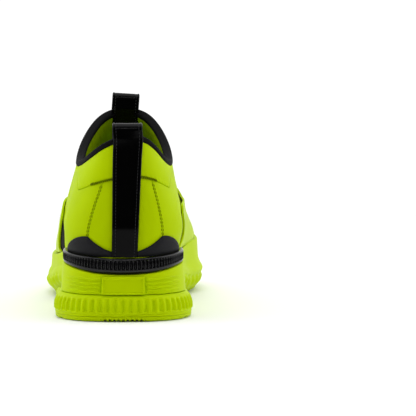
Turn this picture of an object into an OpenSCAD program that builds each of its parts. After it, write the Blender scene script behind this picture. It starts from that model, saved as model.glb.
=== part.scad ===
// Slip-on running shoe, left foot. Toe towards +Y, inner (medial) side towards +X, ground at z = 0.
// Every sole part is a slab lofted round the sole's outline. Every upper part is a patch of the
// last, which is the surface between the sole's edge and the collar's rim, set off by its layer.

/* [Size] */
// Overall length of the sole, heel to toe
shoe_l = 276; // [225:1:335]
// Overall width of the sole across the ball of the foot
ball_w = 103; // [84:1:126]
// Overall width of the sole's flare at the heel
heel_w = 83; // [68:1:100]
// Foam height under the heel of the foot
heel_stack = 36; // [30:0.5:44]
// Foam height under the ball of the foot
ball_stack = 22; // [18:0.5:28]
// How far the toe of the sole is turned up
toe_spring = 13; // [6:0.5:18]

/* [Collar] */
// Height of the rim at the heel
rim_heel_z = 111.5; // [98:1:134]
// Height of the rim at its dip below the ankle bone, outer side
rim_dip_z = 93.5; // [80:0.5:98]
// Extra height of the dip on the inner side
rim_dip_rise = 0.5; // [0:0.5:6]
// Height of the rim over the instep
rim_front_z = 122; // [108:1:146]
// Width of the mouth, inside the lining
mouth_w = 50.5; // [40:0.5:60]
// Share of the sole's length from the heel's end to the rim's front
mouth_front = 0.475; // [0.44:0.005:0.52]

/* [Layers] */
// Thickness of the lining
lining_t = 0.9; // [0.6:0.1:1.4]
// Thickness of the stiffeners and of the collar foam under the shell
stiffener_t = 1.1; // [0.8:0.1:1.6]
// Thickness of the shell panels
shell_t = 1.3; // [0.9:0.1:1.8]
// Thickness of the overlays
overlay_t = 1.3; // [0.9:0.1:1.8]
// Clear gap between two layers
layer_gap = 0.35; // [0.3:0.05:0.5]

/* [Sole] */
// Height of the fluted heel base, ground to midsole
base_h = 16; // [13.5:0.5:20]
// Thickness of the rubber outsole
outsole_t = 3; // [2.5:0.1:4]
// Depth of the flex grooves across the forefoot
groove_depth = 1.4; // [0.6:0.1:1.8]
// How far the foam's underside lifts under the arch
arch_lift = 5; // [0:0.5:8]
// Height of the ribbed heel band at the back
band_h = 9.5; // [7:0.1:11.5]
// Width of the plain raised plate on the heel
plate_w = 27; // [18:1:36]
// Height of the plain raised plate on the heel
plate_h = 10.8; // [6:0.2:12]
// Thickness of the removable insole
insole_t = 4; // [3:0.5:6]

/* [Webbing] */
// Width of the heel strap where it meets the band
strap_low_w = 15.4; // [12:0.2:20]
// Width of the heel strap and its loop at the top
strap_top_w = 18; // [14:0.2:22]
// Width of the front loop
front_loop_w = 17.5; // [14:0.2:22]
// Thickness of the webbing
webbing_t = 1.3; // [1:0.1:1.8]
// Height of the heel loop above the rim
heel_loop_h = 7; // [6.5:0.5:14]
// Height of the front loop above the rim
front_loop_h = 12; // [8:0.5:20]

/* [Hidden] */

// Perimeter stations: 0 is the heel's end, 9 the toe's tip, 1 to 8 the lateral side, 10 to 17 the
// medial side. Each row is [share of the half width, share of the length].
HEEL_ROWS = [[0, 0], [-0.63, 0.022], [-0.985, 0.10], [-0.985, 0.22]];
BALL_ROWS = [[-0.78, 0.40], [-0.92, 0.55], [-0.99, 0.68], [-0.88, 0.83], [-0.54, 0.958], [0.10, 1],
    [0.64, 0.965], [0.98, 0.85], [1.03, 0.70], [0.84, 0.55], [0.75, 0.41]];
STATIONS = 18;
TOE = 9;
outline_pts = concat(
    [for (r = HEEL_ROWS) [r[0] * heel_w / 2, r[1] * shoe_l]],
    [for (r = BALL_ROWS) [r[0] * ball_w / 2, r[1] * shoe_l]],
    [for (i = [3 : -1 : 1]) [-HEEL_ROWS[i][0] * heel_w / 2, HEEL_ROWS[i][1] * shoe_l]]);

function lerp(a, b, f) = a + (b - a) * f;
function ramp(x, a, b) = let (f = min(1, max(0, (x - a) / (b - a)))) f * f * (3 - 2 * f);
function unit(v) = v / norm(v);
function wrap(k, n) = ((k % n) + n) % n;
function cubic(p0, p1, p2, p3, f) = p1 + 0.5 * f * ((p2 - p0) + f * ((2 * p0 - 5 * p1 + 4 * p2 - p3)
    + f * (3 * (p1 - p2) + p3 - p0)));
// A point on a closed smooth curve through pts, at u counted in points
function closed_at(pts, u) = let (k = floor(u), n = len(pts))
    cubic(pts[wrap(k - 1, n)], pts[wrap(k, n)], pts[wrap(k + 1, n)], pts[wrap(k + 2, n)], u - k);
// A point on an open smooth curve through pts, at f from 0 to 1
function open_at(pts, f) = let (n = len(pts) - 1, u = f * n, k = min(n - 1, max(0, floor(u))))
    cubic(pts[max(0, k - 1)], pts[k], pts[k + 1], pts[min(n, k + 2)], u - k);

// Distance from the heel's station, the same on both sides
function side(u) = let (w = wrap(u, STATIONS)) w > TOE ? STATIONS - w : w;
EPS = 0.01;
function outline(u) = closed_at(outline_pts, u);
function inward(u) = let (d = unit(outline(u + EPS) - outline(u - EPS))) [d[1], -d[0]];

// The solids are shifted so that the origin is under the middle of the box
edge_x = [for (u = [0 : 0.1 : STATIONS]) outline(u)[0]];
shift_x = -(min(edge_x) + max(edge_x)) / 2;
shift_y = -shoe_l / 2;

// Heights along the shoe, by share of the length
function lift_toe(t) = let (f = max(0, (t - 0.76) / 0.24)) toe_spring * f * f;
function lift_heel(t) = let (f = max(0, (0.07 - t) / 0.07)) 0.3 * f * f;
function ground_z(t) = lift_toe(t) + lift_heel(t);
function foot_z(t) = lerp(heel_stack, ball_stack, ramp(t, 0.22, 0.62)) + lift_toe(t) * 0.55;
function arch_z(t) = arch_lift * ramp(t, 0.40, 0.50) * (1 - ramp(t, 0.50, 0.60));
function split_z(t) = lerp(base_h, outsole_t, ramp(t, 0.34, 0.52)) + lift_toe(t) + arch_z(t);

// A point set in from the outline by inset, shifted to the part's own frame
function sole_pt(u, inset, z) = let (p = outline(u) + inward(u) * inset)
    [p[0] + shift_x, p[1] + shift_y, z];
function share_at(u) = outline(u)[1] / shoe_l;

// Solids -------------------------------------------------------------------------------------

// Quads split the same way everywhere
function split(quads) = [for (q = quads) each [[q[0], q[1], q[2]], [q[0], q[2], q[3]]]];
// A section of [inset, z] rows, stood at station u
function stand(u, section) = [for (q = section) sole_pt(u, q[0], q[1])];

// A slab across the shoe, from the pair of stations u0 to the pair u1. points_at(u) runs up its wall
module slab(u0, u1, steps, points_at) {
    near = [for (i = [0 : steps]) lerp(u0, u1, i / steps)];
    loop = concat(near, [for (i = [steps : -1 : 0]) STATIONS - near[i]]);
    n = len(loop);
    sides = [for (u = loop) points_at(u)];
    rows = len(sides[0]);
    wall = [for (r = [0 : rows - 2], j = [0 : n - 1])
        [r * n + j, r * n + (j + 1) % n, (r + 1) * n + (j + 1) % n, (r + 1) * n + j]];
    under = [for (j = [0 : steps - 1]) [j, n - 1 - j, n - 2 - j, j + 1]];
    top = (rows - 1) * n;
    over = [for (j = [0 : steps - 1]) [top + j, top + j + 1, top + n - 2 - j, top + n - 1 - j]];
    polyhedron([for (r = [0 : rows - 1], j = [0 : n - 1]) sides[j][r]], split(concat(wall, under, over)));
}

// A solid through closed sections, with flat ends
module sweep(rows) {
    m = len(rows[0]);
    n = len(rows);
    skin = [for (i = [0 : n - 2], j = [0 : m - 1])
        [i * m + j, (i + 1) * m + j, (i + 1) * m + (j + 1) % m, i * m + (j + 1) % m]];
    ends = [for (k = [1 : m - 2]) each [[0, k, k + 1], [(n - 1) * m, (n - 1) * m + k + 1, (n - 1) * m + k]]];
    polyhedron([for (r = rows) each r], concat(split(skin), ends));
}

// The last ------------------------------------------------------------------------------------

// Rows from the sole's edge to the rim, [share across, share up, bulge outwards]
PROFILE_HEEL = [[0, 0, 0], [.08, .14, 1.8], [.18, .29, 3.4], [.35, .44, 3.4], [.50, .58, 2.0],
    [.65, .72, .4], [.85, .87, -.6], [1, 1, 0]];
PROFILE_QUARTER = [[0, 0, 0], [.04, .14, 2.4], [.12, .29, 4.6], [.27, .44, 4.4], [.45, .58, 3.2],
    [.65, .72, 1.6], [.85, .87, .5], [1, 1, 0]];
PROFILE_MIDFOOT = [[0, 0, 0], [0, .14, 3.2], [.06, .29, 4.6], [.18, .43, 4.6], [.36, .57, 3.8],
    [.57, .71, 2.6], [.80, .86, 1.2], [1, 1, 0]];
PROFILE_BALL = [[0, 0, 0], [.02, .09, 1.8], [.09, .18, 1.5], [.22, .27, .9], [.40, .38, .5],
    [.60, .53, .6], [.82, .75, .4], [1, 1, 0]];
PROFILE_TOE = [[0, 0, 0], [.01, .12, 1.0], [.05, .21, .6], [.18, .275, 0], [.40, .335, 0],
    [.63, .45, 0], [.86, .71, 0], [1, 1, 0]];
PROFILE_KEYS = [[0, PROFILE_HEEL], [2.6, PROFILE_QUARTER], [4.4, PROFILE_MIDFOOT],
    [6.2, PROFILE_BALL], [9, PROFILE_TOE]];
function profile_at(s, v, k = 0) = s > PROFILE_KEYS[k + 1][0] ? profile_at(s, v, k + 1)
    : let (f = ramp(s, PROFILE_KEYS[k][0], PROFILE_KEYS[k + 1][0]))
      lerp(open_at(PROFILE_KEYS[k][1], v), open_at(PROFILE_KEYS[k + 1][1], v), f);

function last_inset(s) = lerp(14, 13, ramp(s, 1.5, 4));
insole_seat = 2;   // the last stands this far above the foam, on the board
function last_foot(u) = sole_pt(u, last_inset(side(u)), foot_z(share_at(u)) + insole_seat);

dip_angle = 76;
mouth_back = 0.062;
mouth_x = shift_x + 0.4;   // middle of the mouth at the heel
front_x = shift_x + 1.4;   // and at its front
rim_turn = 7;    // the rim's peak stands this many degrees to the inner side of the heel
function rim_angle(s) = 180 * (1 - pow(1 - s / TOE, 1.35));
function rim_z(a, dip) = a < dip_angle
    ? lerp(dip, rim_heel_z, pow(cos(90 * a / dip_angle), 2.7))
    : lerp(dip, rim_front_z, pow(sin(90 * (a - dip_angle) / (180 - dip_angle)), 2));
function last_rim(u) = let (s = side(u), w = wrap(u, STATIONS), a = rim_angle(s), hand = w > TOE ? 1 : -1,
    mid = lerp(mouth_x, front_x, a / 180), a_z = abs(a - hand * rim_turn * (1 - ramp(a, 0, dip_angle))))
    [mid + hand * mouth_w / 2 * pow(sin(a), 0.82),
     shift_y + shoe_l * lerp(mouth_back, mouth_front, (1 - cos(a)) / 2),
     rim_z(a_z, rim_dip_z + (hand > 0 ? rim_dip_rise : 0))];

// The ridge of the instep leans to the inner side
ridge_lean = 1.5;
function lean(s, v) = ridge_lean * sin(180 * v) * ramp(s, 3.5, 5.5) * (1 - ramp(s, 7.5, TOE));

// Share up the last at height z, near its foot
function level(u, z) = (z - last_foot(u)[2]) / (last_rim(u)[2] - last_foot(u)[2]);

function last(u, v) = let (p = profile_at(side(u), v), a = last_foot(u), b = last_rim(u), n = inward(u))
    [lerp(a[0], b[0], p[0]) - n[0] * p[2] + lean(side(u), v), lerp(a[1], b[1], p[0]) - n[1] * p[2],
     lerp(a[2], b[2], p[1])];
// Outward from the last, and level at its foot so that the layers end on the board
function last_normal(u, v) = let (d = 0.02, v0 = max(0, v - d), v1 = min(1, v + d), n = inward(u),
        square = unit(cross(last(u, v1) - last(u, v0), last(u + d, v) - last(u - d, v))))
    unit(lerp([-n[0], -n[1], 0], square, ramp(v, 0, 0.12)));
function on_last(u, v, off) = last(u, v) + last_normal(u, v) * off;

// Layers, as [inner, outer] distance from the last
LINING = [0, lining_t];
STIFFENER = [LINING[1] + layer_gap, LINING[1] + layer_gap + stiffener_t];
SHELL = [STIFFENER[1] + layer_gap, STIFFENER[1] + layer_gap + shell_t];
OVERLAY = [SHELL[1] + layer_gap, SHELL[1] + layer_gap + overlay_t];
binding_w = 3.8;     // the binding's width; the panels stop below it
function panel_top(u) = 1 - binding_w / (10 * norm(last(u, 1) - last(u, 0.9)));

// Stations that a width w takes on the last at (u, v)
function span(u, v, w) = 0.6 * w / norm(last(u + 0.3, v) - last(u - 0.3, v));

// A patch of the last. edges(f) gives two [u, v] points, one on each edge, for f from 0 to 1, with
// v rising across where u rises along. layer_at(f, g) gives its [inner, outer] distances, and
// bow(f, g) moves a point along the shoe, in stations.
module patch(along, across, edges, layer_at, closed = false, bow = function (f, g) 0) {
    rows = closed ? along : along + 1;
    cols = across + 1;
    back = rows * cols;
    cells = [for (i = [0 : rows - 1], j = [0 : across])
        let (f = i / along, g = j / across, e = edges(f), q = lerp(e[0], e[1], g) + [bow(f, g), 0],
            l = layer_at(f, g), p = last(q[0], q[1]), n = last_normal(q[0], q[1]))
        [p + n * l[1], p + n * l[0]]];
    function at(i, j) = (i % rows) * cols + j;
    bays = [0 : (closed ? rows : rows - 1) - 1];
    skin = split([for (i = bays, j = [0 : across - 1])
        [at(i, j), at(i + 1, j), at(i + 1, j + 1), at(i, j + 1)]]);
    hems = split([for (i = bays, e = [[0, 0, 1], [across, 1, 0]])
        let (a = at(i + e[1], e[0]), b = at(i + e[2], e[0])) [b, a, a + back, b + back]]);
    ends = closed ? [] : split([for (j = [0 : across - 1], e = [[0, 1, 0], [rows - 1, 0, 1]])
        let (a = at(e[0], j + e[1]), b = at(e[0], j + e[2])) [b, a, a + back, b + back]]);
    polyhedron(concat([for (c = cells) c[0]], [for (c = cells) c[1]]),
        concat(skin, [for (t = skin) [t[2] + back, t[1] + back, t[0] + back]], hems, ends));
}

// Sole parts ----------------------------------------------------------------------------------

heel_u = 0.03;        // slabs start and end with a short flat at the heel's end and the toe's tip
toe_u = TOE - 0.03;
base_u = 4.55;        // the heel base and its outsole stop here, under the arch
tread_u = 5.35;       // the forefoot outsole starts here
glue = 0.15;          // glue line between two sole parts

module outsole_heel() {
    color("#c6e000")
    slab(heel_u, base_u, 30, function (u) let (z = ground_z(share_at(u)))
        stand(u, [[2.4, z], [1.1, z + .4], [.6, z + 1.2], [.5, z + outsole_t * .7],
            [.6, z + outsole_t - glue]]));
}

groove_share = [0.625, 0.68, 0.735, 0.79, 0.85];   // places of the flex grooves along the shoe
groove_w = 2.4;
module outsole_forefoot() {
    color("#c6e000")
    difference() {
        slab(tread_u, toe_u, 26, function (u) let (z = ground_z(share_at(u)))
            stand(u, [[12, z], [9, z + .4], [6.2, z + 1.4], [5.0, z + outsole_t * .7],
                [4.5, z + outsole_t - glue]]));
        for (t = groove_share)
            translate([-ball_w, shift_y + t * shoe_l, ground_z(t) - groove_depth])
                cube([2 * ball_w, groove_w, 2 * groove_depth]);
    }
}

module heel_base() {
    color("#c3df10")
    slab(heel_u, base_u, 30, function (u) let (t = share_at(u), z = ground_z(t) + outsole_t, top = split_z(t))
        stand(u, [[0.5, z], [0.1, lerp(z, top, .14)], [0, lerp(z, top, .34)], [0.2, lerp(z, top, .52)],
            [1.6, lerp(z, top, .82)], [3.7, top - 2 * glue], [5.5, top - glue]]));
}

// Heel band: lowest at the back, rising along both sides, and cut off at band_u
band_u = 2.7;
band_back = foot_z(0) - 8;      // its lower edge at the back
band_rise = 7.0;                // how much higher its lower edge ends
band_end_h = band_h - 3;        // its height at its ends
function band_low(u) = band_back + band_rise * ramp(side(u), 0, band_u * 1.1);
function band_tall(u) = lerp(band_h, band_end_h, ramp(side(u), 0.4, band_u));

// Height of the midsole's lip above the foam, as [station, height] from the heel to the toe
LIP_LATERAL = [[0, 0], [1.2, 2.5], [2.9, 5.2], [4.4, 7], [6.2, 6.5], [9, 4.5]];
LIP_MEDIAL = [[0, 0], [1.2, 2.5], [2.9, 5.2], [4.4, 7], [5.7, 16], [6.8, 14], [9, 4.5]];
function keyed(keys, s, k = 0) = s > keys[k + 1][0] ? keyed(keys, s, k + 1)
    : lerp(keys[k][1], keys[k + 1][1], ramp(s, keys[k][0], keys[k + 1][0]));
function lip_up(u) = wrap(u, STATIONS) > TOE ? keyed(LIP_MEDIAL, side(u)) : keyed(LIP_LATERAL, side(u));
// Share up the last that is level with the lip
function lip_v(u) = level(u, foot_z(share_at(u)) + lip_up(u)) * lerp(1, 1.4, ramp(side(u), 4.5, 7));
function above_lip(u) = lip_v(u) + 0.02;
upper_clear = SHELL[1] + 0.3;   // the upper's outer face, with room for the glue

// The wall, [inset, z] rows from the foam's underside to its lip, behind the heel and by the ball
function wall_heel(z0, z1) = [[9, z0], [4.1, z0], [4.0, z0 + 1], [4.5, lerp(z0, z1, .4)],
    [5.0, lerp(z0, z1, .75)], [5.4, z1 - .2]];
function wall_ball(z0, z1) = [[8, z0], [4.5, z0], [1.6, lerp(z0, z1, .14)], [0, lerp(z0, z1, .36)],
    [3.0, lerp(z0, z1, .58)], [3.6, z1 - .6]];
// Inset of the face that the band is glued to
function band_seat(u) = lerp(8.4, 7.3, ramp(side(u), 0, 2));
function band_top(u) = band_low(u) + band_tall(u);
function midsole_points(u) = let (t = share_at(u), s = side(u), v = max(0.005, lip_v(u)),
        inner = on_last(u, v, upper_clear), seated = 1 - ramp(s, band_u + 0.15, band_u + 0.4),
        z0 = split_z(t), z1 = lerp(inner[2], band_low(u) - glue, seated), f = ramp(t, 0.34, 0.50),
        wall = lerp(wall_heel(z0, z1), wall_ball(z0, z1), f), edge = wall[len(wall) - 1][0])
    concat(stand(u, wall), [sole_pt(u, lerp(edge + .6, band_seat(u), seated), z1),
        sole_pt(u, lerp(edge + .7, band_seat(u) + .1, seated), inner[2]), inner,
        on_last(u, v / 2, upper_clear), on_last(u, 0, upper_clear),
        sole_pt(u, last_inset(s) - upper_clear, foot_z(t))]);

module midsole() {
    color("#c3df10")
    slab(heel_u, toe_u, 52, function (u) midsole_points(u));
}

module heel_band() {
    color("#161618")
    sweep([for (i = [0 : 44]) let (u = lerp(-band_u, band_u, i / 44), z = band_low(u), h = band_tall(u),
            d = lerp(3.2, 2.0, ramp(side(u), 0, 2)), back = band_seat(u) - glue)
        stand(u, [[back, z], [back - d * .5, z], [back - d * .85, z + h * .2], [back - d, z + h * .5],
            [back - d * .9, z + h * .8], [back - d * .6, z + h], [back, z + h]])]);
}

plate_depth = 1.6;
plate_low = base_h + 0.1;
module heel_plate() {
    half = plate_w / 2 / norm(outline(0.5) - outline(-0.5));
    color("#b9d40c")
    sweep([for (i = [0 : 10]) let (u = lerp(-half, half, i / 10))
        stand(u, [[4.0 - glue, plate_low], [4.1 - plate_depth, plate_low + .3],
            [4.6 - plate_depth, plate_low + plate_h - .3], [4.5 - glue, plate_low + plate_h]])]);
}

// Parts inside the shoe -----------------------------------------------------------------------

module strobel_board() {
    color("#d9d5c8")
    slab(heel_u, toe_u, 36, function (u) let (z = foot_z(share_at(u)), i = last_inset(side(u)) - SHELL[0])
        stand(u, [[i, z + glue], [i, z + insole_seat - glue]]));
}

module sockliner() {
    color("#a9c414")
    slab(heel_u, toe_u, 40, function (u)
        let (z = foot_z(share_at(u)) + insole_seat, i = last_inset(side(u)) + 0.6)
        stand(u, [[i, z], [i - 0.2, z + insole_t * .5], [i + 1.2, z + insole_t]]));
}

module lining() {
    color("#b6d300")
    patch(54, 9, function (f) [[f * STATIONS, 0], [f * STATIONS, panel_top(f * STATIONS)]],
        function (f, g) LINING, closed = true);
}

module heel_counter() {
    color("#e8e4da")
    patch(16, 6, function (f) let (u = lerp(-3, 3, f)) [[u, .02], [u, .50 - .16 * pow(abs(u) / 3, 2)]],
        function (f, g) STIFFENER);
}

module collar_foam() {
    color("#e9e6dd")
    patch(22, 5, function (f) let (u = lerp(-3.6, 3.6, f)) [[u, .60], [u, panel_top(u) - .02]],
        function (f, g) STIFFENER);
}

module toe_puff() {
    color("#e8e4da")
    patch(16, 6, function (f) let (u = lerp(7, 11, f)) [[u, .02], [u, .36 - .12 * pow(abs(u - TOE) / 2, 2)]],
        function (f, g) STIFFENER);
}

// Upper panels --------------------------------------------------------------------------------

seam_gap = 0.02;         // half of the gap left at a seam along the shoe, in stations
seam_rise = 0.012;       // and up the last
heel_seam_low = [1.21, 1.28];    // stations of the heel panel's lateral and medial seams at the sole
heel_seam_high = [0.59, 0.85];   // and at the ankle pad
pad_low = 0.64;          // share up the last of the ankle pad's lower seam
pad_u = 2.95;            // station where the ankle pad ends
quarter_u_low = 4.75;    // station of the quarter's front edge at the sole
quarter_u_high = 6.6;    // and at the rim
quarter_bow = 0.75;      // how far the edge bows back between them, most at a third of its height
function bow_at(g) = quarter_bow * pow(sin(180 * pow(g, 0.6)), 3);
function heel_seam(v, hand) = let (k = hand > 0 ? 0 : 1)
    lerp(heel_seam_low[k], heel_seam_high[k], v / pad_low);
// Lower edge of the ankle pad, which curves up to the rim at its ends
pad_turn_u = 1.75;       // station where it starts to curve up
function pad_edge(s) = pad_low
    + (panel_top(s) - pad_low) * 1.02 * pow(min(1, max(0, (s - pad_turn_u) / (pad_u - pad_turn_u))), 0.8);

module heel_panel() {
    color("#bfdc0a")
    patch(12, 8,
        function (f) let (v = lerp(0, pad_low - seam_rise, f))
            [[heel_seam(v, 1) - seam_gap, v], [seam_gap - heel_seam(v, -1), v]],
        function (f, g) SHELL);
}

module quarter(hand) {
    patch(18, 12, function (f) let (
            low = lerp(heel_seam(0, hand) + seam_gap, quarter_u_low, f),
            high = lerp(heel_seam(pad_low, hand) + seam_gap, quarter_u_high, pow(f, 0.9)),
            v = min(panel_top(high), pad_edge(high) - seam_rise))
        hand > 0 ? [[low, 0], [high, v]] : [[-high, v], [-low, 0]],
        function (f, g) SHELL,
        bow = function (f, g) -hand * pow(f, 3) * bow_at(hand > 0 ? g : 1 - g));
}
module quarter_lateral() { color("#bfdc0a") quarter(1); }
module quarter_medial() { color("#bfdc0a") quarter(-1); }

module ankle_pad() {
    color("#c8e51a")
    patch(26, 5,
        function (f) let (u = lerp(-pad_u, pad_u, f) * 0.985) [[u, pad_edge(abs(u))], [u, panel_top(u)]],
        function (f, g) [SHELL[0], SHELL[1] + 0.9 * sin(180 * g) * sin(180 * f)]);
}

knit_u = 0.06;           // the knit stops this far short of the quarters
module vamp_knit() {
    color("#19191b")
    patch(34, 14, function (f) let (
            low = lerp(quarter_u_low + knit_u, STATIONS - quarter_u_low - knit_u, f),
            high = lerp(quarter_u_high + knit_u, STATIONS - quarter_u_high - knit_u, f))
        [[low, 0], [high, panel_top(high)]],
        function (f, g) SHELL,
        bow = function (f, g) (pow(f, 6) - pow(1 - f, 6)) * bow_at(g));
}

// Overlays start above the midsole's lip
cap_half = 1.55;         // the toe cap's reach each side of the toe's tip, in stations
module toe_cap() {
    color("#c3df10")
    patch(24, 6, function (f) let (d = lerp(-1, 1, f), u = TOE + cap_half * d)
        [[u, above_lip(u)], [u, .45 - .17 * pow(abs(d), 2.2)]],
        function (f, g) OVERLAY);
}

// A moulded wing that rises from the sole beside the ball of the foot
wing_u = [6.05, 7.2];    // stations of its back and front ends
module forefoot_wing(hand) {
    patch(12, 6, function (f) let (s = lerp(wing_u[0], wing_u[1], f), u = hand > 0 ? s : STATIONS - s,
            low = above_lip(u), peak = u + hand * (.08 + .25 * sin(180 * f)),
            high = low + .03 + .14 * sin(180 * pow(f, .8)))
        hand > 0 ? [[u, low], [peak, high]] : [[peak, high], [u, low]],
        function (f, g) OVERLAY);
}
module forefoot_wing_lateral() { color("#c3df10") forefoot_wing(1); }
module forefoot_wing_medial() { color("#c3df10") forefoot_wing(-1); }

// A strap from the sole on one side, over the instep, to the other side. Its edges are given for the
// lateral strap and then for the medial one, whose stations count from the medial side.
STRAP_BACK = [
    [[5.02, .13], [4.72, .28], [4.62, .44], [5.5, .60], [7.2, .70], [9.3, .79], [11.9, .88]],
    [[4.9, .22], [4.95, .33], [4.85, .43], [5.35, .55], [6.7, .67], [9, .80], [11.9, .885]]];
STRAP_FRONT = [
    [[6.05, .20], [6.3, .33], [6.8, .44], [7.8, .54], [9.3, .63], [10.8, .73], [11.9, .78]],
    [[6.0, .24], [6.2, .33], [6.6, .41], [7.2, .49], [8.3, .58], [10, .69], [11.9, .79]]];
strap_foot = [[4.85, 5.95], [4.62, 5.85]];    // stations of their back and front edges at the sole
strap_float = 0.2;           // extra gap below it, for the ridge of the instep
module cross_strap(hand, raise) {
    function at_foot(s) = [s, above_lip(hand > 0 ? s : STATIONS - s)];
    k = hand > 0 ? 0 : 1;
    back = concat([at_foot(strap_foot[k][0])], STRAP_BACK[k]);
    front = concat([at_foot(strap_foot[k][1])], STRAP_FRONT[k]);
    patch(34, 5, function (f) let (b = open_at(back, f), c = open_at(front, f))
        hand > 0 ? [c, b] : [[STATIONS - b[0], b[1]], [STATIONS - c[0], c[1]]],
        function (f, g) let (d = strap_float + raise * ramp(f, 0.5, 0.66)) [OVERLAY[0] + d, OVERLAY[1] + d]);
}
module cross_strap_lateral() { color("#c8e51a") cross_strap(1, 0); }
module cross_strap_medial() { color("#c8e51a") cross_strap(-1, overlay_t + layer_gap + 0.15); }

module collar_binding() {
    color("#131315")
    patch(72, 2, function (f) [[f * STATIONS, panel_top(f * STATIONS) + 0.004], [f * STATIONS, 1]],
        function (f, g) [-0.3, SHELL[1] + lerp(0.5, -0.3, g)], closed = true);
}

// The mudguard stands on the band and rises to a peak on each side of the strap
guard_peak_u = [0.97, 1.12];   // stations of its lateral and medial peaks
guard_end_u = 2.15;
guard_t = 0.9;
guard_lift = 0.9;        // its lower edge clears the band's top by this
guard_h = [3.9, 12.3, 1.5];    // its height above the band at the back, at its peaks and at its ends
function guard_up(u) = let (s = abs(u), peak = guard_peak_u[u > 0 ? 0 : 1])
    s < peak ? lerp(guard_h[0], guard_h[1], pow(s / peak, 1.7))
    : lerp(guard_h[2], guard_h[1], pow(cos(90 * (s - peak) / (guard_end_u - peak)), 0.8));
module heel_mudguard() {
    color("#1d1d20")
    patch(34, 3, function (f) let (u = lerp(-guard_end_u, guard_end_u, f), z = band_top(u))
        [[u, level(u, z + guard_lift)], [u, level(u, z + guard_up(u))]],
        function (f, g) [OVERLAY[0], OVERLAY[0] + guard_t]);
}

// Webbing -------------------------------------------------------------------------------------

strap_u_low = -0.03;    // the strap leans to the inner side as it rises
strap_u_top = -0.11;
strap_v_low = level(0, band_top(0)) + 0.02;
strap_v_top = 0.965;
leg_gap = SHELL[1] / 2 + 1.4;   // a loop's legs stand this far from the middle of the rim
// How far the strap stands off the last: over the mudguard, down on the panel, then off to the loop
function strap_off(v) = OVERLAY[0] + (guard_t + .3) * (1 - ramp(v, .22, .34))
    + (SHELL[1] / 2 + leg_gap - OVERLAY[0]) * ramp(v, .58, .80);

// Webbing on the last, from v0 to v1, about the stations u0 and u1. off(v) is its inner distance.
module webbing(u0, u1, v0, v1, w0, w1, steps, off) {
    function middle(f) = lerp(u0, u1, f);
    function rise(f) = lerp(v0, v1, f);
    patch(steps, 4, function (f) let (h = span(middle(f), rise(f), lerp(w0, w1, f)) / 2)
            [[middle(f) + h, rise(f)], [middle(f) - h, rise(f)]],
        function (f, g) [off(rise(f)), off(rise(f)) + webbing_t]);
}

module heel_strap() {
    color("#0c0c0d")
    webbing(strap_u_low, strap_u_top, strap_v_low, strap_v_top, strap_low_w, strap_top_w, 24,
        function (v) strap_off(v));
}

// An arch of webbing in the plane x = 0. Its legs stand leg apart from the middle and close to fold.
module loop_arch(width, leg, fold, height) {
    rise = height - fold - webbing_t;
    function arc(r) = [for (i = [0 : 16]) let (a = 180 * i / 16) [r * cos(a), rise + r * sin(a)]];
    rotate([90, 0, 90])
        linear_extrude(width, center = true)
            polygon(concat([[leg + webbing_t, 0]], arc(fold + webbing_t), [[-leg - webbing_t, 0], [-leg, 0]],
                [for (i = [16 : -1 : 0]) arc(fold)[i]], [[leg, 0]]));
}

loop_clear = 1.6;    // room between the rim and a loop's legs, where the webbing bends
function rim_middle(u) = on_last(u, 1, SHELL[1] / 2);
heel_loop_at = [last(strap_u_top, 1)[0], rim_middle(0)[1], rim_heel_z];
front_loop_at = [front_x, rim_middle(TOE)[1], rim_front_z];
front_loop_tilt = 3.5;
front_fold = 2.6;      // half of the opening under the fold of the front loop
tail_v = 0.80;       // the heel loop's inner tail runs down to here
tail_front_v = 0.86; // and the front loop's
tail_gap = 0.3;      // clear of the lining
tab_v = [0.885, 0.95];   // the front loop's outer end lies between these

module heel_loop() {
    color("#0c0c0d")
    translate(heel_loop_at + [0, 0, loop_clear])
        loop_arch(strap_top_w, leg_gap, leg_gap - 0.2, heel_loop_h - loop_clear);
}
module heel_loop_tail() {
    color("#0c0c0d")
    webbing(strap_u_top, strap_u_top, tail_v, panel_top(0), strap_top_w, strap_top_w, 6,
        function (v) -webbing_t - tail_gap);
}
module front_loop() {
    color("#101011")
    translate(front_loop_at + [0, 0, loop_clear])
        rotate([0, front_loop_tilt, 0])
            loop_arch(front_loop_w, leg_gap, front_fold, front_loop_h - loop_clear);
}
module front_loop_tail() {
    color("#101011")
    webbing(TOE, TOE, tail_front_v, panel_top(TOE), front_loop_w, front_loop_w, 6,
        function (v) -webbing_t - tail_gap);
}
// Outer end of the front loop, sewn to the instep
module front_loop_tab() {
    color("#101011")
    webbing(TOE, TOE, tab_v[0], tab_v[1], front_loop_w, front_loop_w, 6,
        function (v) OVERLAY[0] + 3 * strap_float);
}

outsole_heel();
outsole_forefoot();
heel_base();
midsole();
heel_plate();
heel_band();
heel_mudguard();
strobel_board();
sockliner();
lining();
heel_counter();
collar_foam();
toe_puff();
heel_panel();
quarter_lateral();
quarter_medial();
ankle_pad();
vamp_knit();
toe_cap();
forefoot_wing_lateral();
forefoot_wing_medial();
cross_strap_lateral();
cross_strap_medial();
collar_binding();
heel_strap();
heel_loop();
heel_loop_tail();
front_loop();
front_loop_tail();
front_loop_tab();
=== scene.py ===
"""Looks of the slip-on running shoe. Each CAD node gets a detailed piece on the same curves.

The drawing is in millimetres. A station u runs round the sole: 0 is the heel's end, 9 the toe's tip,
positive on the lateral side (-X) and negative on the medial side. v runs up the last, 0 to 1.
"""

import math

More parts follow.
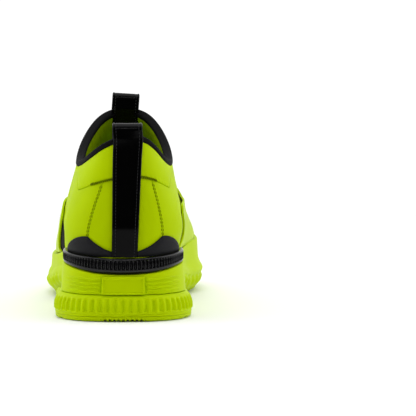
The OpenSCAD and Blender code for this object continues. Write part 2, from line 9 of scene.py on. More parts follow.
import bpy
import numpy as np
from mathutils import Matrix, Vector


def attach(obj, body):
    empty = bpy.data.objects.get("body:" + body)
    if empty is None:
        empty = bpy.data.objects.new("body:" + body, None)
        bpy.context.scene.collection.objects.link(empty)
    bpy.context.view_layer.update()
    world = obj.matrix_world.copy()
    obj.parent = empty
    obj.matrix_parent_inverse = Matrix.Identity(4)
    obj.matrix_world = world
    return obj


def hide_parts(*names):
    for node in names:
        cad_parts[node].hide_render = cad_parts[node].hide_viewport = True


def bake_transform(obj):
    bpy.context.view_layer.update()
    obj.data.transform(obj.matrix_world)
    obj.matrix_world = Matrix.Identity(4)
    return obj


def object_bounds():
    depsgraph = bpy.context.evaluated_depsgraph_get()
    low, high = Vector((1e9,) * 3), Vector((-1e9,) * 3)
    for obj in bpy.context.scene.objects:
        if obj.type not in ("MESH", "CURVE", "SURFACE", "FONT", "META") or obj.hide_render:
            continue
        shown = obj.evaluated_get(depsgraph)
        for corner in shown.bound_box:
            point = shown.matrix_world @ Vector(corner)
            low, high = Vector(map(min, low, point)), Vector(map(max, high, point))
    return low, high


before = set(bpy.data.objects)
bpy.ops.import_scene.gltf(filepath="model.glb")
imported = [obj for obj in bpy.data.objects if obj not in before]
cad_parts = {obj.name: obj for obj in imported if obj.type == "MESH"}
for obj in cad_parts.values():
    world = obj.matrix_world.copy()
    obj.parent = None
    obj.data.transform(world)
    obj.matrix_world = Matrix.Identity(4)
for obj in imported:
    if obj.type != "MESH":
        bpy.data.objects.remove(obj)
cad_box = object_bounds()

# Driving sizes, in millimetres -------------------------------------------------------------------
SHOE_L = 276.0
BALL_W = 103.0
HEEL_W = 83.0
HEEL_STACK = 36.0
BALL_STACK = 22.0
TOE_SPRING = 13.0
RIM_HEEL_Z = 111.5
RIM_DIP_Z = 93.5
RIM_DIP_RISE = 0.5
RIM_FRONT_Z = 122.0
MOUTH_W = 50.5
MOUTH_FRONT = 0.475
BASE_H = 16.0
OUTSOLE_T = 3.0
ARCH_LIFT = 5.0
BAND_H = 9.5
PLATE_W = 27.0
PLATE_H = 10.8
INSOLE_T = 4.0
STRAP_LOW_W = 15.4
STRAP_TOP_W = 18.0
FRONT_LOOP_W = 17.5
WEBBING_T = 1.3
HEEL_LOOP_H = 7.0
FRONT_LOOP_H = 12.0
LINING_T = 0.9
STIFFENER_T = 1.1
SHELL_T = 1.3
OVERLAY_T = 1.3
LAYER_GAP = 0.35
BINDING_W = 3.8


def layer_over(below, thickness):
    """A layer's distances from the last, inside and outside, a glue gap above the one below."""
    return below[1] + LAYER_GAP, below[1] + LAYER_GAP + thickness


LINING = (0.0, LINING_T)
STIFFENER = layer_over(LINING, STIFFENER_T)
SHELL = layer_over(STIFFENER, SHELL_T)
OVERLAY = layer_over(SHELL, OVERLAY_T)

MM = (cad_box[1].y - cad_box[0].y) / SHOE_L    # metres for one millimetre of the drawing


# Curves ------------------------------------------------------------------------------------------
def lerp(a, b, f):
    return a + (b - a) * f


def ramp(x, a, b):
    f = np.clip((x - a) / (b - a), 0, 1)
    return f * f * (3 - 2 * f)


def unit(v):
    return v / np.maximum(np.linalg.norm(v, axis=-1, keepdims=True), 1e-9)


def spline(points, k, f, wrap):
    n = len(points)
    pick = (lambda i: points[i % n]) if wrap else (lambda i: points[np.clip(i, 0, n - 1)])
    p0, p1, p2, p3 = pick(k - 1), pick(k), pick(k + 1), pick(k + 2)
    f = f[..., None]
    return p1 + 0.5 * f * ((p2 - p0) + f * ((2 * p0 - 5 * p1 + 4 * p2 - p3) + f * (3 * (p1 - p2) + p3 - p0)))


def closed_at(points, u):
    k = np.floor(u).astype(int)
    return spline(points, k, u - k, True)


def open_at(points, f):
    u = f * (len(points) - 1)
    k = np.clip(np.floor(u).astype(int), 0, len(points) - 2)
    return spline(points, k, u - k, False)


def keyed(keys, s):
    """Smooth steps between [station, value] keys."""
    out = np.full(np.shape(s), float(keys[0][1]))
    for (s0, a), (s1, b) in zip(keys, keys[1:]):
        out = np.where(s > s0, lerp(a, b, ramp(s, s0, s1)), out)
    return out


# The sole's outline and heights ------------------------------------------------------------------
STATIONS = 18
TOE = 9
DROP_SHARE = (0.22, 0.62)       # the foot's seat drops from the heel to the ball between these shares
SPLIT_SHARE = (0.34, 0.52)      # and so does the top of the base
ARCH_SHARE = (0.40, 0.50, 0.60)
TURN_UP_SHARE = 0.76            # the toe turns up from here
HEEL_LIFT = 0.3
HEEL_LIFT_SHARE = 0.07
HEEL_ROWS = [(0, 0), (-0.63, 0.022), (-0.985, 0.10), (-0.985, 0.22)]
BALL_ROWS = [(-0.78, 0.40), (-0.92, 0.55), (-0.99, 0.68), (-0.88, 0.83), (-0.54, 0.958), (0.10, 1),
             (0.64, 0.965), (0.98, 0.85), (1.03, 0.70), (0.84, 0.55), (0.75, 0.41)]
OUTLINE = np.array([(x * HEEL_W / 2, y * SHOE_L) for x, y in HEEL_ROWS]
                   + [(x * BALL_W / 2, y * SHOE_L) for x, y in BALL_ROWS]
                   + [(-x * HEEL_W / 2, y * SHOE_L) for x, y in HEEL_ROWS[:0:-1]])


def side(u):
    w = np.mod(u, STATIONS)
    return np.where(w > TOE, STATIONS - w, w)


def is_medial(u):
    return np.mod(u, STATIONS) > TOE


def outline(u):
    return closed_at(OUTLINE, u)


def inward(u):
    d = unit(outline(u + 0.01) - outline(u - 0.01))
    return np.stack([d[..., 1], -d[..., 0]], -1)


EDGE_X = outline(np.arange(0, STATIONS + 0.1, 0.1))[:, 0]
SHIFT = np.array([-(EDGE_X.min() + EDGE_X.max()) / 2, -SHOE_L / 2])
HEEL_MIDDLE_X = SHIFT[0]


def share_at(u):
    return outline(u)[..., 1] / SHOE_L


def lift_toe(t):
    return TOE_SPRING * np.maximum(0, (t - TURN_UP_SHARE) / (1 - TURN_UP_SHARE)) ** 2


def ground_z(t):
    return lift_toe(t) + HEEL_LIFT * np.maximum(0, (HEEL_LIFT_SHARE - t) / HEEL_LIFT_SHARE) ** 2


def foot_z(t):
    return lerp(HEEL_STACK, BALL_STACK, ramp(t, *DROP_SHARE)) + lift_toe(t) * 0.55


def split_z(t):
    arch = ARCH_LIFT * ramp(t, *ARCH_SHARE[:2]) * (1 - ramp(t, *ARCH_SHARE[1:]))
    return lerp(BASE_H, OUTSOLE_T, ramp(t, *SPLIT_SHARE)) + lift_toe(t) + arch


def sole_pt(u, inset, z):
    xy = outline(u) + inward(u) * np.asarray(inset)[..., None] + SHIFT
    return np.concatenate([xy, np.broadcast_to(z, xy.shape[:-1])[..., None]], -1)


def stand(u, rows):
    """[inset, z] rows stood at the stations u: an array of stations by rows by 3."""
    columns = [sole_pt(u, np.broadcast_to(inset, u.shape), np.broadcast_to(z, u.shape)) for inset, z in rows]
    return np.stack(columns, 1)


# The last ----------------------------------------------------------------------------------------
PROFILES = [
    (0, [(0, 0, 0), (.08, .14, 1.8), (.18, .29, 3.4), (.35, .44, 3.4), (.50, .58, 2.0), (.65, .72, .4),
         (.85, .87, -.6), (1, 1, 0)]),
    (2.6, [(0, 0, 0), (.04, .14, 2.4), (.12, .29, 4.6), (.27, .44, 4.4), (.45, .58, 3.2), (.65, .72, 1.6),
           (.85, .87, .5), (1, 1, 0)]),
    (4.4, [(0, 0, 0), (0, .14, 3.2), (.06, .29, 4.6), (.18, .43, 4.6), (.36, .57, 3.8), (.57, .71, 2.6),
           (.80, .86, 1.2), (1, 1, 0)]),
    (6.2, [(0, 0, 0), (.02, .09, 1.8), (.09, .18, 1.5), (.22, .27, .9), (.40, .38, .5), (.60, .53, .6),
           (.82, .75, .4), (1, 1, 0)]),
    (9, [(0, 0, 0), (.01, .12, 1.0), (.05, .21, .6), (.18, .275, 0), (.40, .335, 0), (.63, .45, 0),
         (.86, .71, 0), (1, 1, 0)]),
]
LAST_INSET = (14, 13)    # the last's foot lies this far inside the sole's edge, at the heel and in front
INSOLE_SEAT = 2.0
DIP_ANGLE = 76           # round the rim from the heel, to its lowest point
RIM_TURN = 7             # the rim's peak at the heel is turned this far to the medial side
RIM_PEAK = 2.7           # how narrow that peak is
MOUTH_ROUND = 0.82
MOUTH_BACK = 0.062
MOUTH_X = HEEL_MIDDLE_X + 0.4
FRONT_X = HEEL_MIDDLE_X + 1.4
RIDGE_LEAN = 1.5


def profile_at(s, v):
    out = open_at(np.array(PROFILES[0][1], float), v)
    for (s0, _), (s1, rows) in zip(PROFILES, PROFILES[1:]):
        out = lerp(out, open_at(np.array(rows, float), v), ramp(s, s0, s1)[..., None])
    return out


def last_inset(s):
    return lerp(*LAST_INSET, ramp(s, 1.5, 4))


def last_foot(u):
    return sole_pt(u, last_inset(side(u)), foot_z(share_at(u)) + INSOLE_SEAT)


def rim_z(a, dip):
    back = lerp(dip, RIM_HEEL_Z, np.maximum(0, np.cos(np.radians(90 * a / DIP_ANGLE))) ** RIM_PEAK)
    front = lerp(dip, RIM_FRONT_Z, np.sin(np.radians(90 * (a - DIP_ANGLE) / (180 - DIP_ANGLE))) ** 2)
    return np.where(a < DIP_ANGLE, back, front)


def last_rim(u):
    hand = np.where(is_medial(u), 1, -1)
    a = 180 * (1 - (1 - side(u) / TOE) ** 1.35)
    rad = np.radians(a)
    x = lerp(MOUTH_X, FRONT_X, a / 180) + hand * MOUTH_W / 2 * np.abs(np.sin(rad)) ** MOUTH_ROUND
    y = SHIFT[1] + SHOE_L * lerp(MOUTH_BACK, MOUTH_FRONT, (1 - np.cos(rad)) / 2)
    turned = np.abs(a - hand * RIM_TURN * (1 - ramp(a, 0, DIP_ANGLE)))
    return np.stack([x, y, rim_z(turned, RIM_DIP_Z + np.where(hand > 0, RIM_DIP_RISE, 0))], -1)


def last(u, v):
    u, v = np.broadcast_arrays(np.asarray(u, float), np.asarray(v, float))
    s = side(u)
    p = profile_at(s, v)
    a, b, n = last_foot(u), last_rim(u), inward(u)
    lean = RIDGE_LEAN * np.sin(math.pi * v) * ramp(s, 3.5, 5.5) * (1 - ramp(s, 7.5, TOE))
    x = lerp(a[..., 0], b[..., 0], p[..., 0]) - n[..., 0] * p[..., 2] + lean
    y = lerp(a[..., 1], b[..., 1], p[..., 0]) - n[..., 1] * p[..., 2]
    return np.stack([x, y, lerp(a[..., 2], b[..., 2], p[..., 1])], -1)


def last_normal(u, v):
    u, v = np.broadcast_arrays(np.asarray(u, float), np.asarray(v, float))
    d = 0.02
    n = inward(u)
    level_out = np.concatenate([-n, np.zeros(n.shape[:-1] + (1,))], -1)
    up = last(u, np.minimum(1, v + d)) - last(u, np.maximum(0, v - d))
    square = unit(np.cross(up, last(u + d, v) - last(u - d, v)))
    return unit(lerp(level_out, square, ramp(v, 0, 0.12)[..., None]))


def on_last(u, v, off):
    return last(u, v) + last_normal(u, v) * np.asarray(off)[..., None]


def panel_top(u):
    """Share up the last where the panels stop, which leaves the binding its width."""
    step = 0.1
    reach = np.linalg.norm(last(u, 1.0) - last(u, 1 - step), axis=-1)
    return 1 - BINDING_W * step / reach


def level(u, z):
    """Share up the last at height z, near its foot."""
    a, b = last_foot(u)[..., 2], last_rim(u)[..., 2]
    return (z - a) / (b - a)


# The edges of the pieces -------------------------------------------------------------------------
BASE_U = 4.55
TREAD_U = 5.35
BAND_U = 2.7
BAND_BACK = foot_z(0.0) - 8
BAND_RISE = 7.0
BAND_END_H = BAND_H - 3
BAND_SEAT = (8.4, 7.3)    # the band's back lies this far inside the sole's edge
PAD_LOW = 0.64
PAD_U = 2.95
PAD_TURN_U = 1.75
PAD_CROWN = 1.5
SEAM_LOW_U = (1.21, 1.28)
SEAM_HIGH_U = (0.59, 0.85)
QUARTER_LOW_U = 4.75
QUARTER_HIGH_U = 6.6
QUARTER_BOW = 0.75
KNIT_GAP_U = 0.03
SEAM_GAP_U = 0.006
SEAM_GAP_V = 0.004
CAP_HALF_U = 1.55
WING_U = (6.05, 7.2)
STRAP_BACK = [
    [(5.02, .13), (4.72, .28), (4.62, .44), (5.5, .60), (7.2, .70), (9.3, .79), (11.9, .88)],
    [(4.9, .22), (4.95, .33), (4.85, .43), (5.35, .55), (6.7, .67), (9, .80), (11.9, .885)]]
STRAP_FRONT = [
    [(6.05, .20), (6.3, .33), (6.8, .44), (7.8, .54), (9.3, .63), (10.8, .73), (11.9, .78)],
    [(6.0, .24), (6.2, .33), (6.6, .41), (7.2, .49), (8.3, .58), (10, .69), (11.9, .79)]]
STRAP_FOOT = [(4.85, 5.95), (4.62, 5.85)]
STRAP_FLOAT = 0.2
STRAP_CLEAR = 0.15      # the upper strap clears the lower one by this and the gap between layers
GUARD_PEAK_U = (0.97, 1.12)
GUARD_END_U = 2.15
GUARD_T = 0.9
EDGE_BEAD = 0.22
GUARD_H = (3.9, 12.3, 1.5)    # above the band: in the middle, at the peaks and at the ends
LIP_LATERAL = [(0, 0), (1.2, 2.5), (2.9, 5.2), (4.4, 7), (6.2, 6.5), (9, 4.5)]
LIP_MEDIAL = [(0, 0), (1.2, 2.5), (2.9, 5.2), (4.4, 7), (5.7, 16), (6.8, 14), (9, 4.5)]


def band_low(u):
    return BAND_BACK + BAND_RISE * ramp(side(u), 0, BAND_U * 1.1)


def band_tall(u):
    return lerp(BAND_H, BAND_END_H, ramp(side(u), 0.4, BAND_U))


def band_top(u):
    return band_low(u) + band_tall(u)


def band_seat(u):
    return lerp(*BAND_SEAT, ramp(side(u), 0, 2))


def lip_v(u):
    lip = np.where(is_medial(u), keyed(LIP_MEDIAL, side(u)), keyed(LIP_LATERAL, side(u)))
    return level(u, foot_z(share_at(u)) + lip) * lerp(1, 1.4, ramp(side(u), 4.5, 7))


def above_lip(u):
    return lip_v(u) + 0.02


def heel_seam(v, hand):
    k = 0 if hand > 0 else 1
    return lerp(SEAM_LOW_U[k], SEAM_HIGH_U[k], v / PAD_LOW)


def pad_edge(s):
    turn = np.clip((s - PAD_TURN_U) / (PAD_U - PAD_TURN_U), 0, 1)
    return PAD_LOW + (panel_top(s) - PAD_LOW) * 1.02 * turn ** 0.8


def guard_up(u):
    s, peak = np.abs(u), np.where(np.asarray(u) > 0, *GUARD_PEAK_U)
    rise = lerp(GUARD_H[0], GUARD_H[1], (s / peak) ** 1.7)
    fall = np.cos(math.pi / 2 * np.clip((s - peak) / (GUARD_END_U - peak), 0, 1)) ** 0.8
    return np.where(s < peak, rise, lerp(GUARD_H[2], GUARD_H[1], fall))


# Meshes ------------------------------------------------------------------------------------------
SHARP_ANGLE = 48


def grid_quads(rows, cols, close_rows=False, close_cols=False):
    i, j = np.meshgrid(np.arange(rows if close_rows else rows - 1),
                       np.arange(cols if close_cols else cols - 1), indexing="ij")
    k, m = (i + 1) % rows, (j + 1) % cols
    return np.stack([i * cols + j, k * cols + j, k * cols + m, i * cols + m], -1).reshape(-1, 4)


def arcs(points, axis):
    """Distance along an axis of a grid of points, from its start."""
    step = np.linalg.norm(np.diff(points, axis=axis), axis=-1)
    zero = np.zeros_like(np.take(step, [0], axis=axis))
    return np.concatenate([zero, np.cumsum(step, axis=axis)], axis=axis)


def grid_normals(points):
    return unit(np.cross(np.gradient(points, axis=0), np.gradient(points, axis=1)))


def sampled(rows, at, d):
    """The rows of points, read at other distances than their own d."""
    return np.stack([np.interp(at, d, rows[:, k]) for k in range(rows.shape[1])], -1)


def outline_arc(u):
    """Distance along the outline from the middle of the stations u."""
    arc = arcs(outline(u)[None], 1)[0]
    return arc - arc[len(u) // 2]


def wrap_rows(quads, rows, cols):
    """Join the last row of a grid to its first one, which lies in the same place."""
    return np.where(quads >= (rows - 1) * cols, quads - (rows - 1) * cols, quads)


def end_strips(rows, cols):
    """Quads that close both ends of a row of closed sections."""
    j = np.arange(cols // 2 - 1)
    end = np.stack([j, j + 1, cols - 2 - j, cols - 1 - j], -1)
    return np.concatenate([end, end[:, ::-1] + (rows - 1) * cols])


def waves(x, y, size):
    """Gentle unevenness between about -1 and 1, with features of the given size."""
    a, b = x / size, y / size
    return (np.sin(a * 2.1 + 1.3 * np.sin(b * 1.7)) + np.sin(b * 2.7 + 1.1 * np.sin(a * 1.3 + 2))) / 2


def groove(phase, sharp=2.0):
    """1 in the middle of each groove and 0 between them; one groove for each unit of phase."""
    return (0.5 + 0.5 * np.cos(2 * math.pi * phase)) ** sharp


def make_piece(name, points, quads, look, uv, body="shoe"):
    """One mesh piece in the row frame, with outward faces, hung under its body's empty when body is given."""
    tri = np.concatenate([quads[:, [0, 1, 2]], quads[:, [0, 2, 3]]])
    a, b, c = (points[tri[:, k]] for k in range(3))
    if np.einsum("ij,ij->i", a, np.cross(b, c)).sum() < 0:
        quads = quads[:, ::-1]
    mesh = bpy.data.meshes.new(name)
    mesh.vertices.add(len(points))
    mesh.vertices.foreach_set("co", (points * MM).astype(np.float32).ravel())
    mesh.loops.add(quads.size)
    mesh.loops.foreach_set("vertex_index", quads.astype(np.int32).ravel())
    mesh.polygons.add(len(quads))
    mesh.polygons.foreach_set("loop_start", np.arange(0, quads.size, 4, dtype=np.int32))
    layer = mesh.uv_layers.new(name="millimetres")
    layer.data.foreach_set("uv", uv[quads.ravel()].astype(np.float32).ravel())
    mesh.update(calc_edges=True)
    mesh.validate()
    mesh.shade_smooth()
    mesh.set_sharp_from_angle(angle=math.radians(SHARP_ANGLE))
    obj = bpy.data.objects.new(name, mesh)
    bpy.context.scene.collection.objects.link(obj)
    mesh.materials.append(LOOKS[look])
    if body:
        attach(obj, body)
    return obj


def stands_for(obj, *nodes):
    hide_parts(*nodes)
    return obj


def eased(steps, rim):
    """Steps from 0 to 1, with closer ones inside rim of each end, for a rounded edge."""
    close = np.array([0, 0.06, 0.2, 0.45, 0.72]) * rim
    return np.concatenate([close, np.linspace(rim, 1 - rim, steps), 1 - close[::-1]])


def edge_drop(distance, radius):
    """How far a surface falls away near its edge, for an edge rounded to radius."""
    d = np.clip(distance, 0, radius)
    return radius - np.sqrt(np.maximum(0, radius ** 2 - (radius - d) ** 2))


def panel(name, edges, layer, steps, look, relief=None, bow=None, closed=False, radius=0.5):
    """A closed panel on the last with rounded edges, in steps along and across.

    edges(f) gives its two [u, v] edges, relief its surface, and bow a shift of its stations.
    """
    f_mid = np.linspace(0, 1, 40)
    e0, e1 = (np.stack(np.broadcast_arrays(*e), -1) for e in edges(f_mid))
    mid = lerp(e0, e1, 0.5)
    length = arcs(last(mid[:, 0], mid[:, 1])[None], 1)[0, -1]
    cross = np.linspace(0, 1, 20)
    row = lerp(e0[20], e1[20], cross[:, None])
    width = arcs(last(row[:, 0], row[:, 1])[None], 1)[0, -1]
    f = np.linspace(0, 1, steps[0]) if closed else eased(steps[0], min(0.3, radius / length))
    g = eased(steps[1], min(0.3, radius / width))
    e0, e1 = (np.stack(np.broadcast_arrays(*e), -1) for e in edges(f))
    F, G = np.meshgrid(f, g, indexing="ij")
    uv = lerp(e0[:, None], e1[:, None], G[..., None])
    if bow is not None:
        uv[..., 0] += bow(F, G)
    u, v = uv[..., 0], uv[..., 1]
    base, normal = last(u, v), last_normal(u, v)
    across, along = arcs(base, 1), arcs(base, 0)
    edge = np.minimum(across, across[:, -1:] - across)
    if not closed:
        edge = np.minimum(edge, np.minimum(along, along[-1:] - along))
    inner, outer = layer(F, G) if callable(layer) else layer
    rise = outer - edge_drop(edge, radius)
    if relief is not None:
        rise = rise + relief(dict(u=u, v=v, f=F, g=G, edge=edge, along=along, across=across))
    rise = np.maximum(rise, np.asarray(inner) + 0.15)
    over = base + normal * rise[..., None]
    under = base + normal * np.broadcast_to(inner, rise.shape)[..., None]
    # One ring of columns: over the outside, then back under the inside
    ring = np.concatenate([over, under[:, ::-1]], 1)
    rows, cols = ring.shape[:2]
    quads = grid_quads(rows, cols, close_cols=True)
    if closed:
        quads = wrap_rows(quads, rows, cols)
    else:
        quads = np.concatenate([quads, end_strips(rows, cols)])
    flat = np.stack([np.concatenate([way, way[:, ::-1]], 1) for way in (along, across)], -1)
    obj = make_piece(name, ring.reshape(-1, 3), quads, look, flat.reshape(-1, 2))
    return stands_for(obj, name)


def resample(rows, count):
    """Each station's section, spaced evenly along its own length."""
    out = np.empty((len(rows), count, 3))
    reach = arcs(rows, 1)
    for i, (line, d) in enumerate(zip(rows, reach)):
        out[i] = sampled(line, np.linspace(0, d[-1], count), d)
    return out


def cut_corners(rows, keep):
    a, b = rows[:, :-1], rows[:, 1:]
    pairs = np.stack([lerp(a, b, keep), lerp(a, b, 1 - keep)], 2).reshape(len(rows), -1, 3)
    return np.concatenate([rows[:, :1], pairs, rows[:, -1:]], 1)


def rounded(rows, count):
    for keep in (0.14, 0.25, 0.25):
        rows = cut_corners(rows, keep)
    return resample(rows, count)


def sole_stations(middle, reach, step):
    """Stations on both sides of middle, about step millimetres apart."""
    fine = np.linspace(0, reach, 600)
    length = arcs(outline(middle + fine)[None], 1)[0]
    half = np.interp(np.linspace(0, length[-1], int(length[-1] / step)), length, fine)
    return np.concatenate([middle - half[:0:-1], middle + half])


def sole_piece(name, u, wall, look, caps, relief=None, foot=None, closed=False):
    """A slab of the sole: its wall, its underside and its top, which meet on the shoe's middle line."""
    count = len(u)
    arc = outline_arc(u)
    if relief is not None:
        normal = grid_normals(wall)
        if (normal[count // 2, wall.shape[1] // 2, 1] > 0) == (abs(u[count // 2]) < 1):
            normal = -normal
        wall = wall + normal * relief(u[:, None], arc[:, None], wall)[..., None]
    k = np.linspace(0, 1, caps)[1:, None, None]
    low, high = wall[:, 0], wall[:, -1]
    spine_low, spine_high = (low + low[::-1]) / 2, (high + high[::-1]) / 2
    under = np.moveaxis(lerp(low[None], spine_low[None], k), 0, 1)[:, ::-1]
    over = np.moveaxis(lerp(high[None], spine_high[None], k), 0, 1)
    grid = np.concatenate([under, wall, over], 1)
    if foot is not None:
        grid[..., 2] += foot(grid, np.broadcast_to(ground_z(share_at(u))[:, None], grid.shape[:2]))
    rows, cols = grid.shape[:2]
    quads = grid_quads(rows, cols)
    index = np.arange(rows * cols).reshape(rows, cols)
    for edge in (0, cols - 1):
        index[:, edge] = np.minimum(index[:, edge], index[::-1, edge])
    if closed:
        index[-1] = index[0]
    else:
        j = np.arange(caps - 1, cols - caps)
        tail = (rows - 1) * cols
        quads = np.concatenate([quads, np.stack([j + 1, j, tail + j, tail + j + 1], -1)])
    uv = np.stack([np.broadcast_to(arc[:, None], (rows, cols)), arcs(grid, 1)], -1)
    obj = make_piece(name, grid.reshape(-1, 3), index.ravel()[quads], look, uv.reshape(-1, 2))
    return stands_for(obj, name)


STITCH_SIDES = 6
# Share along the stitch, size and lift of each ring round a stitch
STITCH_RINGS = [(0, .3, -.7), (.12, .8, -.1), (.5, 1, .35), (.88, .8, -.1), (1, .3, -.7)]


def stitched(name, paths, look, pitch, length, radius, body="shoe"):
    """Stitches along paths, each an array of points and an array of normals."""
    starts, ends, ups = [], [], []
    for points, normals in paths:
        d = arcs(points[None], 1)[0]
        at = np.arange(pitch / 2, d[-1] - pitch / 2, pitch)
        starts.append(sampled(points, at - length / 2, d))
        ends.append(sampled(points, at + length / 2, d))
        ups.append(sampled(normals, at, d))
    a, b, up = (np.concatenate(x) for x in (starts, ends, ups))
    axis, up = unit(b - a), unit(up)
    across = unit(np.cross(axis, up))
    up = np.cross(across, axis)
    turn = np.radians(np.arange(0, 360, 360 // STITCH_SIDES))
    rows = []
    for t, r, lift in STITCH_RINGS:
        centre = lerp(a, b, t) + up * radius * lift
        ring = [centre + (across * math.cos(w) + up * math.sin(w)) * radius * r for w in turn]
        rows.append(np.stack(ring, 1))
    body_points = np.stack(rows, 1)
    count = len(STITCH_RINGS) * STITCH_SIDES
    cap = np.array([[0, 1, 2, 3], [0, 3, 4, 5]])
    one = np.concatenate([grid_quads(len(STITCH_RINGS), STITCH_SIDES, close_cols=True), cap,
                          cap[:, ::-1] + count - STITCH_SIDES])
    quads = (one[None] + count * np.arange(len(a))[:, None, None]).reshape(-1, 4)
    uv = np.zeros((len(a) * count, 2))
    return make_piece(name, body_points.reshape(-1, 3), quads, look, uv, body=body)


def seam_path(u, v, off):
    """Points and normals along a line on the last, for stitches."""
    u, v = np.broadcast_arrays(np.asarray(u, float), np.asarray(v, float))
    return on_last(u, v, np.full(u.shape, off)), last_normal(u, v)


# Looks -------------------------------------------------------------------------------------------
class Look:
    """A node material, with helpers that add one node each and give back its output."""

    def __init__(self, name, roughness, **principled):
        self.material = bpy.data.materials.new(name)
        self.material.use_nodes = True
        self.tree = self.material.node_tree
        self.shader = self.tree.nodes["Principled BSDF"]
        self.shader.inputs["Roughness"].default_value = roughness
        for socket, value in principled.items():
            self.shader.inputs[socket.replace("_", " ")].default_value = value

    def node(self, kind, links=(), **settings):
        made = self.tree.nodes.new(kind)
        for key, value in settings.items():
            if hasattr(made, key):
                setattr(made, key, value)
            else:
                made.inputs[key.replace("_", " ")].default_value = value
        for socket, source in dict(links).items():
            self.tree.links.new(source, made.inputs[socket])
        return made

    def place(self, scale, kind="Object"):
        """Coordinates times scale: metres of the row frame, or millimetres of the piece's own grid."""
        if kind == "Object":
            source = self.node("ShaderNodeTexCoord").outputs["Object"]
        else:
            source = self.node("ShaderNodeUVMap", uv_map="millimetres").outputs["UV"]
        return self.node("ShaderNodeMapping", {"Vector": source}, Scale=scale).outputs["Vector"]

    def noise(self, scale, detail=4.0):
        where = self.place((1, 1, 1))
        return self.node("ShaderNodeTexNoise", {"Vector": where}, Scale=scale, Detail=detail).outputs["Fac"]

    def stripes(self, where, direction, distortion=0.0):
        made = self.node("ShaderNodeTexWave", {"Vector": where}, bands_direction=direction,
                         wave_profile="SIN", Scale=1.0, Distortion=distortion)
        return made.outputs["Fac"]

    def math(self, operation, a, b):
        made = self.tree.nodes.new("ShaderNodeMath")
        made.operation = operation
        for socket, value in zip(made.inputs, (a, b)):
            if isinstance(value, (int, float)):
                socket.default_value = value
            else:
                self.tree.links.new(value, socket)
        return made.outputs[0]

    def colours(self, fac, dark, light):
        made = self.node("ShaderNodeMix", data_type="RGBA")
        self.tree.links.new(fac, made.inputs[0])
        made.inputs[6].default_value = (*dark, 1)
        made.inputs[7].default_value = (*light, 1)
        self.tree.links.new(made.outputs[2], self.shader.inputs["Base Color"])

    def rough(self, fac, low, high):
        made = self.node("ShaderNodeMapRange", {"Value": fac}, To_Min=low, To_Max=high)
        self.tree.links.new(made.outputs["Result"], self.shader.inputs["Roughness"])

    def bump(self, height, distance):
        previous = self.shader.inputs["Normal"].links
        made = self.node("ShaderNodeBump", {"Height": height}, Distance=distance, Strength=1.0)
        if previous:
            self.tree.links.new(previous[0].from_socket, made.inputs["Normal"])
        self.tree.links.new(made.outputs["Normal"], self.shader.inputs["Normal"])


def shade(colour, factor):
    return tuple(min(1.0, c * factor) for c in colour)


def moulded(name, colour, roughness, grain, **principled):
    """Moulded rubber or foam: faint clouding, a fine skin and a worn spread of roughness."""
    look = Look(name, roughness, **principled)
    look.colours(look.noise(38), shade(colour, 0.94), shade(colour, 1.04))
    look.rough(look.noise(120), roughness - 0.07, roughness + 0.08)
    look.bump(look.noise(2600, 2.0), grain)
    look.bump(look.noise(160, 3.0), grain * 1.5)
    return look.material


WAVE_PERIOD = math.pi / 10    # the wave texture repeats after this length


def woven(name, colour, roughness, pitch, depth, **principled):
    """A plain weave: threads both ways, pitch millimetres apart, with slubs and soft shading."""
    look = Look(name, roughness, **principled)
    turns = WAVE_PERIOD / pitch
    where = look.place((turns, turns, 1), "UV")
    cloth = look.math("MULTIPLY", look.stripes(where, "X"), look.stripes(where, "Y"))
    look.colours(look.noise(55), shade(colour, 0.93), shade(colour, 1.05))
    look.bump(cloth, depth)
    look.bump(look.noise(900, 3.0), depth * 0.5)
    look.rough(look.noise(70), roughness - 0.06, roughness + 0.06)
    return look.material


def knitted(name, colour, roughness, pitch, depth, **principled):
    """A rib knit: rows of small loops that lean one way and then the other."""
    look = Look(name, roughness, **principled)
    turns = WAVE_PERIOD / pitch
    columns = look.stripes(look.place((turns, turns * 0.55, 1), "UV"), "X", distortion=1.2)
    courses = look.stripes(look.place((turns * 0.4, turns * 1.3, 1), "UV"), "DIAGONAL")
    loops = look.math("MULTIPLY", columns, courses)
    look.colours(loops, shade(colour, 0.75), shade(colour, 1.25))
    look.bump(loops, depth)
    look.bump(look.noise(1400, 2.0), depth * 0.4)
    return look.material


def patent(name, colour, roughness):
    """Patent coating on webbing: smooth, with a slow ripple and fine dust."""
    look = Look(name, roughness, Specular_IOR_Level=0.07)
    look.colours(look.noise(90), shade(colour, 0.8), shade(colour, 1.3))
    look.rough(look.noise(700, 2.0), roughness - 0.04, roughness + 0.07)
    look.bump(look.noise(75, 2.0), 0.00012)
    look.bump(look.noise(1800, 2.0), 0.000012)
    return look.material


